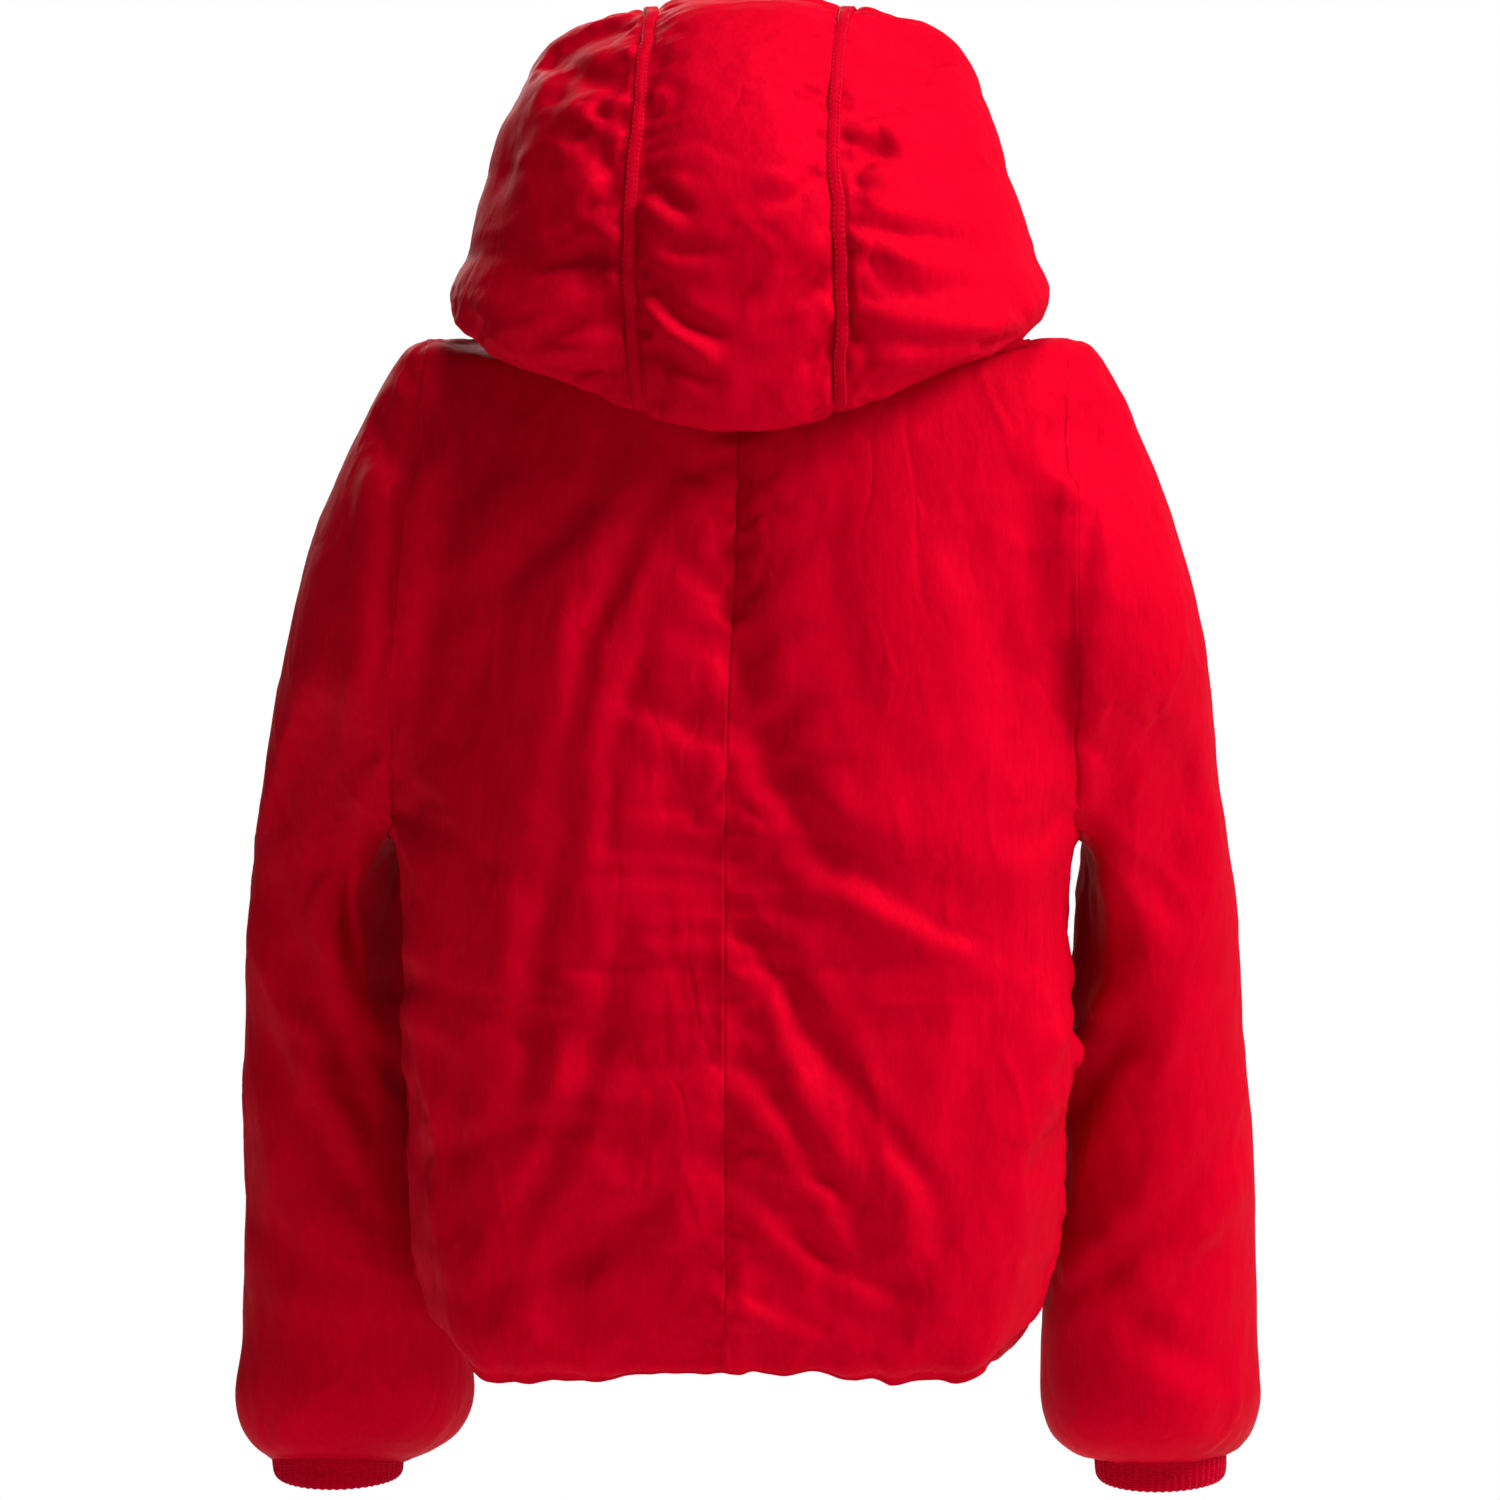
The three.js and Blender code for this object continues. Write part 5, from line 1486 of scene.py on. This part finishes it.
def block(low, high, frame_matrix, bevel):
    """A small rounded block between two corners, in millimetres in a zip's own frame."""
    bm = bmesh.new()
    corners = [[bm.verts.new((x * MM, y * MM, z * MM)) for z in (low[2], high[2])] for x, y in
               ((low[0], low[1]), (high[0], low[1]), (high[0], high[1]), (low[0], high[1]))]
    bm.faces.new([c[0] for c in reversed(corners)])
    bm.faces.new([c[1] for c in corners])
    for i in range(4):
        j = (i + 1) % 4
        bm.faces.new((corners[i][0], corners[j][0], corners[j][1], corners[i][1]))
    bmesh.ops.bevel(bm, geom=list(bm.edges), offset=bevel * MM, segments=3, profile=0.5, affect="EDGES")
    bmesh.ops.recalc_face_normals(bm, faces=bm.faces)
    bmesh.ops.transform(bm, matrix=frame_matrix, verts=bm.verts)
    item = mesh_object("block", [], [])
    bm.to_mesh(item.data)
    bm.free()
    return item


for name, sign in (("left", 1), ("right", -1)):
    row = tooth_row("zip_teeth_row_" + name, zip_frame, zip_low + 12 * MM, zip_high - 4.5 * MM, sign)
    own("zip_teeth_row_" + name, row, "jacket", ["zip_teeth_" + name])
    strip = tape_strip("zip_tape_strip_" + name, zip_frame, zip_low, zip_high, sign * 2.0 * MM, sign * 16.9 * MM)
    own("zip_tape_strip_" + name, strip, "jacket", ["zip_tape_" + name])
    span = (0.6, 2.6) if sign > 0 else (-2.6, -0.6)
    stop = block((span[0], 0.5, 3.0), (span[1], 2.9, 6.2), zip_frame, 0.5)
    smooth_shade(stop)
    own("zip_stop_" + name, stop, "jacket", ["zip_top_stop_" + name])
print("main zip: %d teeth a side" % int((zip_high - zip_low - 16.5 * MM) / (3.1 * MM)))

# %% Zip box, pin and the flap behind
box_parts = [
    block((-3.6, 0.1, -646.4), (0.4, 1.2, -638.6), zip_frame, 0.4),
    block((-3.3, -0.2, -645.4), (0.1, 0.3, -640), zip_frame, 0.25),
]
zip_box = joined("zip_box_block", box_parts)
own("zip_box_block", zip_box, "jacket", ["zip_box"])
zip_pin = block((0.6, 0.5, -646.4), (2.0, 1.3, -635), zip_frame, 0.35)
smooth_shade(zip_pin)
own("zip_pin_rod", zip_pin, "jacket", ["zip_pin"])
flap_rows = []
flap_z = np.linspace(zip_low, zip_high, 150)
for z in flap_z:
    turn = np.linspace(0, 2 * math.pi, 33)[:-1]
    x = 24 * MM * np.sign(np.cos(turn)) * np.abs(np.cos(turn)) ** 0.5
    y = 7.2 * MM + 2.0 * MM * np.sign(np.sin(turn)) * np.abs(np.sin(turn)) ** 0.6
    ripple = 0.5 * MM * noise(np.stack([x, y, np.full(32, z)], 1), (0.02, 0.02, 0.014), 41)
    flap_rows.append(placed(zip_frame, np.stack([x, y + ripple, np.full(32, z)], axis=1)))
flap = mesh_object("zip_flap_pad", *loft(flap_rows))
smooth_shade(flap)
own("zip_flap_pad", flap, "jacket", ["zip_flap"])

# %% [markdown]
# ## Sliders and pulls
# A slider is two plates held apart by a wedge, with a bridge that the pull hangs from. The pull is a flat tag with
# a window at its top. Both are die-cast and enamelled, so every edge is round.
# %% Slider and pull
def slider(name, frame_matrix):
    plate, top, thick = 5.5, 0.2, 1.5
    parts = [
        block((-plate, top - thick, 0), (plate, top, 14), frame_matrix, 0.55),
        block((-plate, 3.2, 0), (plate, 4.7, 14), frame_matrix, 0.55),
        block((-0.3, top - 0.2, 8), (0.3, 3.4, 14), frame_matrix, 0.1),
        block((-plate, top - 0.3, 0.2), (-plate + 1.2, 1.05, 13.8), frame_matrix, 0.2),
        block((plate - 1.2, top - 0.3, 0.2), (plate, 1.05, 13.8), frame_matrix, 0.2),
        block((-plate, 2.35, 0.2), (-plate + 1.2, 3.4, 13.8), frame_matrix, 0.2),
        block((plate - 1.2, 2.35, 0.2), (plate, 3.4, 13.8), frame_matrix, 0.2),
        block((-1.4, -5.7, 2), (1.4, -4.8, 12), frame_matrix, 0.4),
        block((-1.4, -5.7, 2), (1.4, -1.0, 3.2), frame_matrix, 0.4),
        block((-1.4, -5.7, 9.5), (1.4, -1.0, 12), frame_matrix, 0.4),
        block((-3.4, -1.7, 3.4), (3.4, -1.1, 13.0), frame_matrix, 0.28),
    ]
    return joined(name, parts)


def pull(name, frame_matrix):
    rise = 3.5
    parts = [
        block((-4, -rise - 0.7, 4.3), (4, -rise + 0.7, 5.7), frame_matrix, 0.45),
        block((-4, -rise - 0.7, -3), (-2.2, -rise + 0.7, 5.6), frame_matrix, 0.45),
        block((2.2, -rise - 0.7, -3), (4, -rise + 0.7, 5.6), frame_matrix, 0.45),
        block((-4, -rise - 0.7, -30), (4, -rise + 0.7, -2.4), frame_matrix, 0.6),
        block((-2.6, -rise - 0.95, -28.5), (2.6, -rise - 0.5, -5), frame_matrix, 0.22),
        block((-2.6, -rise + 0.5, -28.5), (2.6, -rise + 0.95, -5), frame_matrix, 0.22),
    ]
    return joined(name, parts)


slider_low, slider_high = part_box("zip_slider")
slider_middle = (slider_low.z + slider_high.z) / 2 - (zip_frame @ Vector((0, 1.5 * MM, 0))).z
main_z = slider_middle / math.cos(math.atan2(hem_front - neck_front, length))
main_at = zip_frame @ Matrix.Translation((0, 0, main_z - 7 * MM))
own("zip_slider_body", slider("zip_slider_body", main_at), "main_slider", ["zip_slider"])
own("zip_pull_tag", pull("zip_pull_tag", main_at), "main_pull", ["zip_pull"])
for name, m in pocket_frames.items():
    for edge, sign in (("front", -1), ("back", 1)):
        row = tooth_row("row", m, -77 * MM, 77 * MM, sign)
        strip = tape_strip("strip", m, -85 * MM, 85 * MM, sign * 2.0 * MM, sign * 13 * MM)
        piece = joined("pocket_zip_side", [row, strip])
        flat_shade = np.zeros(len(piece.data.polygons), bool)
        piece.data.polygons.foreach_set("use_smooth", flat_shade)
        own(f"pocket_zip_side_{name}_{edge}", piece, "jacket", [f"pocket_zip_{name}_{edge}"])
    at = m @ Matrix.Translation((0, 0, (77 - 15) * MM))
    own("pocket_slider_body_" + name, slider("s", at), "pocket_slider_" + name, ["pocket_slider_" + name])
    own("pocket_pull_tag_" + name, pull("p", at), "pocket_pull_" + name, ["pocket_pull_" + name])
print("sliders: main at z = %.1f mm" % (main_z / MM))

# %% [markdown]
# A pocket bag is two plies of lining cloth, lying flat between wadding and lining. It hardly shows, but a hand would
# find it there, so it is made: a patch of the body's own form, moved inwards.
# %% Pocket bags
for name, m in pocket_frames.items():
    sign = 1 if name == "left" else -1
    x_mid = m.translation.x - sign * 15 * MM
    rows = []
    for z in np.linspace(-0.597, -0.423, 24):
        row = []
        for x in np.linspace(x_mid - 44 * MM, x_mid + 44 * MM, 14):
            hit, normal, _, _ = body_outward.ray_cast(Vector((x, -0.4, z)), Vector((0, 1, 0)))
            row.append(hit - normal * 14.1 * MM)
        rows.append(row)
    bag = open_sheet("pocket_bag_cloth_" + name, rows)
    thicken(bag, 1.8 * MM, 0)
    own("pocket_bag_cloth_" + name, bag, "jacket", ["pocket_bag_" + name])

# %% [markdown]
# ## Hanger loop
# The loop that the jacket hangs from is a short woven strap inside the back neck. It leaves the collar seam, turns and
# runs level, so that a peg meets a flat underside.
# %% Hanger loop
loop_low, loop_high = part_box("hanger_loop")
leg_x = (loop_high.x - 1 * MM)
run_y, back_y, top_z, foot_z = loop_low.y + 3.5 * MM, loop_high.y - 1 * MM, loop_high.z - 1 * MM, loop_low.z + 6 * MM
corner = 3 * MM
half_path = [(leg_x, back_y, foot_z), (leg_x, run_y + corner, foot_z), (leg_x, run_y + 1 * MM, foot_z + 1 * MM),
             (leg_x, run_y, foot_z + corner), (leg_x, run_y, top_z - corner), (leg_x - 1 * MM, run_y, top_z - 1 * MM),
             (leg_x - corner, run_y, top_z)]
loop_path = np.array(half_path + [(-x, y, z) for x, y, z in reversed(half_path)])
fine_path = evened(loop_path, 1.5 * MM)
on_run = np.where(np.abs(fine_path[:, 0]) < leg_x - 2 * MM, 1.0, 0.0)
outs = np.stack([fine_path[:, 0] / leg_x, np.zeros(len(fine_path)), on_run], axis=1)
outs = unit(smoothed(outs, 6) + 1e-6)
loop, _, _ = swept("hanger_loop_strap", fine_path, outs, [(a, b - 1 * MM) for a, b in flat_profile(6.6 * MM, 1.8 * MM)])
own("hanger_loop_strap", loop, "jacket", ["hanger_loop"])

# %% [markdown]
# ## Finishes
# Each finish is a small tree of nodes on the jacket's own coordinates, in metres, so a crinkle of two millimetres is
# two millimetres on every piece. A bump gives the weave, and slow noise shifts colour and gloss a little, as dye and
# handling do. What is even all over, such as the sheen, is set on the shader itself.
# %% Finish helpers
def finish(name, roughness, sheen=0.0, specular=0.3, tint=(1, 1, 1), coat=0.0, metallic=0.0):
    made = bpy.data.materials.new(name)
    made.use_nodes = True
    tree = made.node_tree
    shader = tree.nodes["Principled BSDF"]
    shader.inputs["Roughness"].default_value = roughness
    shader.inputs["Sheen Weight"].default_value = sheen
    shader.inputs["Sheen Roughness"].default_value = 0.45
    shader.inputs["Sheen Tint"].default_value = (*tint, 1)
    shader.inputs["Specular IOR Level"].default_value = specular
    shader.inputs["Specular Tint"].default_value = (*tint, 1)
    shader.inputs["Coat Weight"].default_value = coat
    shader.inputs["Coat Roughness"].default_value = 0.15
    shader.inputs["Metallic"].default_value = metallic
    return made, tree, shader


def add_node(tree, kind, **settings):
    node = tree.nodes.new(kind)
    for key, value in settings.items():
        if key in node.inputs:
            node.inputs[key].default_value = value
        else:
            setattr(node, key, value)
    return node


def coordinates(tree, scale=(1, 1, 1), turn=(0, 0, 0)):
    place = add_node(tree, "ShaderNodeTexCoord")
    mapping = add_node(tree, "ShaderNodeMapping", Scale=scale, Rotation=turn)
    tree.links.new(place.outputs["Object"], mapping.inputs["Vector"])
    return mapping.outputs["Vector"]


def grain(tree, size, stretch=(1, 1, 1), detail=3.0, roughness=0.55):
    """Noise with features about `size` metres across."""
    node = add_node(tree, "ShaderNodeTexNoise", Scale=1 / size, Detail=detail, Roughness=roughness)
    tree.links.new(coordinates(tree, stretch), node.inputs["Vector"])
    return node.outputs["Fac"]


def bands(tree, pitch, turn=(0, 0, 0), direction="Z", distortion=0.0):
    """Even bands, `pitch` metres apart."""
    node = add_node(tree, "ShaderNodeTexWave", Scale=0.314159 / pitch, Distortion=distortion, bands_direction=direction)
    tree.links.new(coordinates(tree, (1, 1, 1), turn), node.inputs["Vector"])
    return node.outputs["Fac"]


def ramp(tree, factor, low, high, from_low=0.3, from_high=0.7):
    """A colour or a grey value that runs from low to high with a factor."""
    node = add_node(tree, "ShaderNodeValToRGB")
    node.color_ramp.elements[0].position, node.color_ramp.elements[1].position = from_low, from_high
    grey = not hasattr(low, "__len__")
    node.color_ramp.elements[0].color = (low, low, low, 1) if grey else (*low, 1)
    node.color_ramp.elements[1].color = (high, high, high, 1) if grey else (*high, 1)
    tree.links.new(factor, node.inputs["Fac"])
    return node.outputs["Color"]


def creases(tree, size, stretch, width):
    """Thin crossing folds about `size` metres apart, here and there: 0 along a fold and 1 away from it."""
    place = coordinates(tree, stretch)
    sway = add_node(tree, "ShaderNodeTexNoise", Scale=1.4 / size, Detail=3.0)
    tree.links.new(place, sway.inputs["Vector"])
    share = add_node(tree, "ShaderNodeVectorMath", operation="SCALE", Scale=size * 0.9)
    tree.links.new(sway.outputs["Color"], share.inputs[0])
    swayed = add_node(tree, "ShaderNodeVectorMath", operation="ADD")
    tree.links.new(place, swayed.inputs[0])
    tree.links.new(share.outputs[0], swayed.inputs[1])
    cells = add_node(tree, "ShaderNodeTexVoronoi", feature="DISTANCE_TO_EDGE", Scale=1 / size)
    tree.links.new(swayed.outputs[0], cells.inputs["Vector"])
    shown = add_node(tree, "ShaderNodeMix", data_type="RGBA")
    tree.links.new(ramp(tree, grain(tree, size * 1.6, detail=1), 0.0, 1.0, 0.42, 0.6), shown.inputs[0])
    shown.inputs[6].default_value = (1, 1, 1, 1)
    tree.links.new(ramp(tree, cells.outputs["Distance"], 0.0, 1.0, 0.0, width), shown.inputs[7])
    return shown.outputs[2]


def bump(tree, height, depth, strength=1.0, under=None):
    node = add_node(tree, "ShaderNodeBump", Strength=strength, Distance=depth)
    tree.links.new(height, node.inputs["Height"])
    if under is not None:
        tree.links.new(under, node.inputs["Normal"])
    return node.outputs["Normal"]


def blended(tree, a, b, share):
    node = add_node(tree, "ShaderNodeMix", data_type="RGBA", blend_type="MULTIPLY")
    node.inputs[0].default_value = share
    tree.links.new(a, node.inputs[6])
    tree.links.new(b, node.inputs[7])
    return node.outputs[2]


def set_on(tree, shader, colour=None, roughness=None, normal=None):
    """Joins what a finish has worked out to the shader."""
    for socket, value in (("Base Color", colour), ("Roughness", roughness), ("Normal", normal)):
        if value is not None:
            tree.links.new(value, shader.inputs[socket])


def wear_on(piece, material):
    piece.data.materials.clear()
    piece.data.materials.append(material)


# %% Crinkled satin nylon
red_tint = (1.0, 0.0, 0.12)


def nylon(name, dark, light, roughness, sheen, specular, crinkle):
    made, tree, shader = finish(name, roughness, sheen, specular, red_tint, metallic=0.1)
    slow = ramp(tree, grain(tree, 90 * MM, detail=2), dark, light)
    streaks = ramp(tree, grain(tree, 3.0 * MM, (1, 1, 0.22), 4), 0.86, 1.0)
    gloss = ramp(tree, grain(tree, 14 * MM, (1, 1, 0.4), 4), roughness - 0.07, roughness + 0.08)
    weave = bump(tree, grain(tree, 0.45 * MM, detail=1), 0.05 * MM, 0.5)
    fine = bump(tree, grain(tree, 2.6 * MM, (1, 1, 0.3), 5, 0.62), crinkle * 0.5, 0.55, weave)
    soft = bump(tree, grain(tree, 11 * MM, (1, 1, 0.5), 4, 0.6), crinkle * 1.6, 0.6, fine)
    folded = bump(tree, creases(tree, 42 * MM, (1, 1, 0.4), 0.1), crinkle * 1.3, 0.55, soft)
    set_on(tree, shader, blended(tree, slow, streaks, 1.0), gloss, folded)
    return made


shell_finish = nylon("satin nylon", (0.41, 0.0, 0.0095), (0.48, 0.0, 0.012), 0.58, 0.0, 0.02, 0.55 * MM)
strip_finish = nylon("satin nylon strip", (0.38, 0.0, 0.009), (0.43, 0.0, 0.011), 0.55, 0.0, 0.02, 0.2 * MM)

# %% Taffeta, knit, tape, teeth, enamel and thread
lining_finish, tree, shader = finish("taffeta lining", 0.38, 0.15, 0.35, red_tint)
set_on(tree, shader, ramp(tree, grain(tree, 30 * MM, (1, 1, 0.5)), (0.2, 0.0, 0.006), (0.26, 0.001, 0.009)))
ribbed = bump(tree, bands(tree, 0.7 * MM, distortion=0.6), 0.06 * MM, 0.5)
set_on(tree, shader, normal=bump(tree, grain(tree, 5 * MM, (1, 1, 0.5), 4), 0.4 * MM, 0.5, ribbed))

rib_finish, tree, shader = finish("rib knit", 0.85, 0.3, 0.1, red_tint)
yarn = ramp(tree, grain(tree, 1.2 * MM, (1, 1, 0.5), 3), (0.3, 0.0, 0.006), (0.46, 0.0, 0.013))
loops = bands(tree, 1.5 * MM, direction="Z", distortion=3.0)
# The knit's colour is darkest along the low lines of the same bands that give its bump: painted shade in the hollows
# between the loops.
set_on(tree, shader, blended(tree, yarn, ramp(tree, loops, 0.72, 1.0, 0.1, 0.6), 1.0))
set_on(tree, shader, normal=bump(tree, loops, 0.35 * MM, 0.7, bump(tree, grain(tree, 0.4 * MM), 0.1 * MM, 0.5)))

tape_finish, tree, shader = finish("zip tape twill", 0.75, 0.3, 0.2, red_tint)
twill = bands(tree, 1.1 * MM, (0, math.radians(38), 0), "X")
# The tape's colour runs darker along the low lines of the twill that gives its bump: painted shade in the weave's
# hollows.
set_on(tree, shader, ramp(tree, twill, (0.2, 0.0, 0.005), (0.3, 0.001, 0.009), 0.2, 0.8))
set_on(tree, shader, normal=bump(tree, twill, 0.18 * MM, 0.8, bump(tree, grain(tree, 0.3 * MM), 0.06 * MM, 0.4)))

teeth_finish, tree, shader = finish("moulded teeth", 0.32, 0.0, 0.5)
set_on(tree, shader, ramp(tree, grain(tree, 20 * MM), (0.26, 0.001, 0.008), (0.32, 0.002, 0.01)))
set_on(tree, shader, roughness=ramp(tree, grain(tree, 2 * MM, detail=4), 0.26, 0.42))
set_on(tree, shader, normal=bump(tree, grain(tree, 0.8 * MM), 0.04 * MM, 0.5))

enamel_finish, tree, shader = finish("red enamel", 0.28, 0.0, 0.5, coat=0.6, metallic=0.2)
set_on(tree, shader, ramp(tree, grain(tree, 6 * MM, detail=4), (0.2, 0.001, 0.008), (0.3, 0.002, 0.012)))
set_on(tree, shader, roughness=ramp(tree, grain(tree, 3 * MM, detail=5), 0.2, 0.4))
set_on(tree, shader, normal=bump(tree, grain(tree, 1.6 * MM, detail=1), 0.05 * MM, 0.4))

thread_finish, tree, shader = finish("polyester thread", 0.5, 0.3, 0.3, red_tint)
twist = bands(tree, 0.5 * MM, (0.6, 0.6, 0), "Z")
# The thread's colour is darker along the low lines of the twist that gives its bump: painted shade between the twist's
# plies.
set_on(tree, shader, ramp(tree, twist, (0.26, 0.0, 0.006), (0.42, 0.002, 0.012)))
set_on(tree, shader, normal=bump(tree, twist, 0.08 * MM, 0.6))

# %% Dress every piece
worn = [  # the first word found in a piece's name decides
    ("stitches", thread_finish), ("lining", lining_finish), ("bag", lining_finish), ("tape", tape_finish),
    ("side", teeth_finish), ("teeth", teeth_finish), ("slider", enamel_finish), ("pull", enamel_finish),
    ("stop", enamel_finish), ("box", enamel_finish), ("rod", enamel_finish), ("knit", rib_finish),
    ("strap", tape_finish), ("binding_band", strip_finish), ("facing", shell_finish), ("flap", shell_finish),
    ("panel", shell_finish), ("strip_", strip_finish),
]
for name, piece in pieces.items():
    wear_on(piece, next(material for word, material in worn if word in name))
print("dressed", len(pieces), "pieces")

# %% [markdown]
# ## Stage
# The jacket is shown from behind, level, from far off with a long lens, so that its near and far parts keep their true
# sizes. A broad soft light comes from the upper right, a weak one fills the left, and the room is white all round.
# %% Camera
camera_data = bpy.data.cameras.new("view")
camera_data.lens, camera_data.sensor_width = 320, 36
camera = bpy.data.objects.new("view", camera_data)
bpy.context.scene.collection.objects.link(camera)
view_turn, view_distance, view_height = math.radians(183), 8.0, -0.273
camera.location = (view_distance * math.sin(view_turn), -view_distance * math.cos(view_turn), view_height)
camera.rotation_euler = (math.radians(90), 0, view_turn)
bpy.context.scene.camera = camera


# %% Lights, room and floor
def soft_light(name, place, aim, size, power, colour=(1, 1, 1)):
    data = bpy.data.lights.new(name, "AREA")
    data.shape, data.size, data.energy, data.color = "DISK", size, power, colour
    light = bpy.data.objects.new(name, data)
    light.location = place
    light.rotation_euler = (Vector(aim) - Vector(place)).to_track_quat("-Z", "Y").to_euler()
    bpy.context.scene.collection.objects.link(light)


soft_light("key", (-3.4, 1.2, 2.2), (0, 0, -0.3), 1.7, 258)
soft_light("front", (1.2, -3.2, 1.2), (0, 0, -0.3), 1.8, 60)
soft_light("fill", (0.9, 3.6, 0.4), (0, 0, -0.3), 1.6, 12)
soft_light("top", (-0.6, 0.6, 2.7), (0, 0, -0.3), 1.4, 82)
room = bpy.data.worlds.new("room")
room.use_nodes = True
tree = room.node_tree
place = tree.nodes.new("ShaderNodeTexCoord")
split = tree.nodes.new("ShaderNodeSeparateXYZ")
seen = tree.nodes.new("ShaderNodeLightPath")
share = tree.nodes.new("ShaderNodeMix")
share.data_type = "RGBA"
across = tree.nodes.new("ShaderNodeMapping")
across.inputs["Location"].default_value = (0.5, 0.5, 0.5)
across.inputs["Scale"].default_value = (0.5, 0.5, 0.5)
tree.links.new(place.outputs["Generated"], across.inputs["Vector"])
tree.links.new(across.outputs["Vector"], split.inputs["Vector"])
tree.links.new(seen.outputs["Is Camera Ray"], share.inputs[0])
tree.links.new(ramp(tree, split.outputs["X"], 0.36, 0.05, 0.2, 0.65), share.inputs[6])
share.inputs[7].default_value = (1, 1, 1, 1)
tree.links.new(share.outputs[2], tree.nodes["Background"].inputs["Color"])
tree.nodes["Background"].inputs["Strength"].default_value = 1.0
bpy.context.scene.world = room
bpy.context.scene.view_settings.view_transform = "Standard"

turn = np.arange(96) * 2 * math.pi / 96
rim = np.stack([3.8 * np.cos(turn), 3.8 * np.sin(turn), np.full(96, -0.95)], axis=1)
floor = mesh_object("floor", rim, [tuple(range(96))])
floor_finish, tree, shader = finish("pale floor", 0.9, 0.0, 0.1)
tree.links.new(ramp(tree, grain(tree, 0.5), 0.8, 0.82), shader.inputs["Base Color"])
shader.inputs["Emission Color"].default_value = (1, 1, 1, 1)
shader.inputs["Emission Strength"].default_value = 0.14
wear_on(floor, floor_finish)
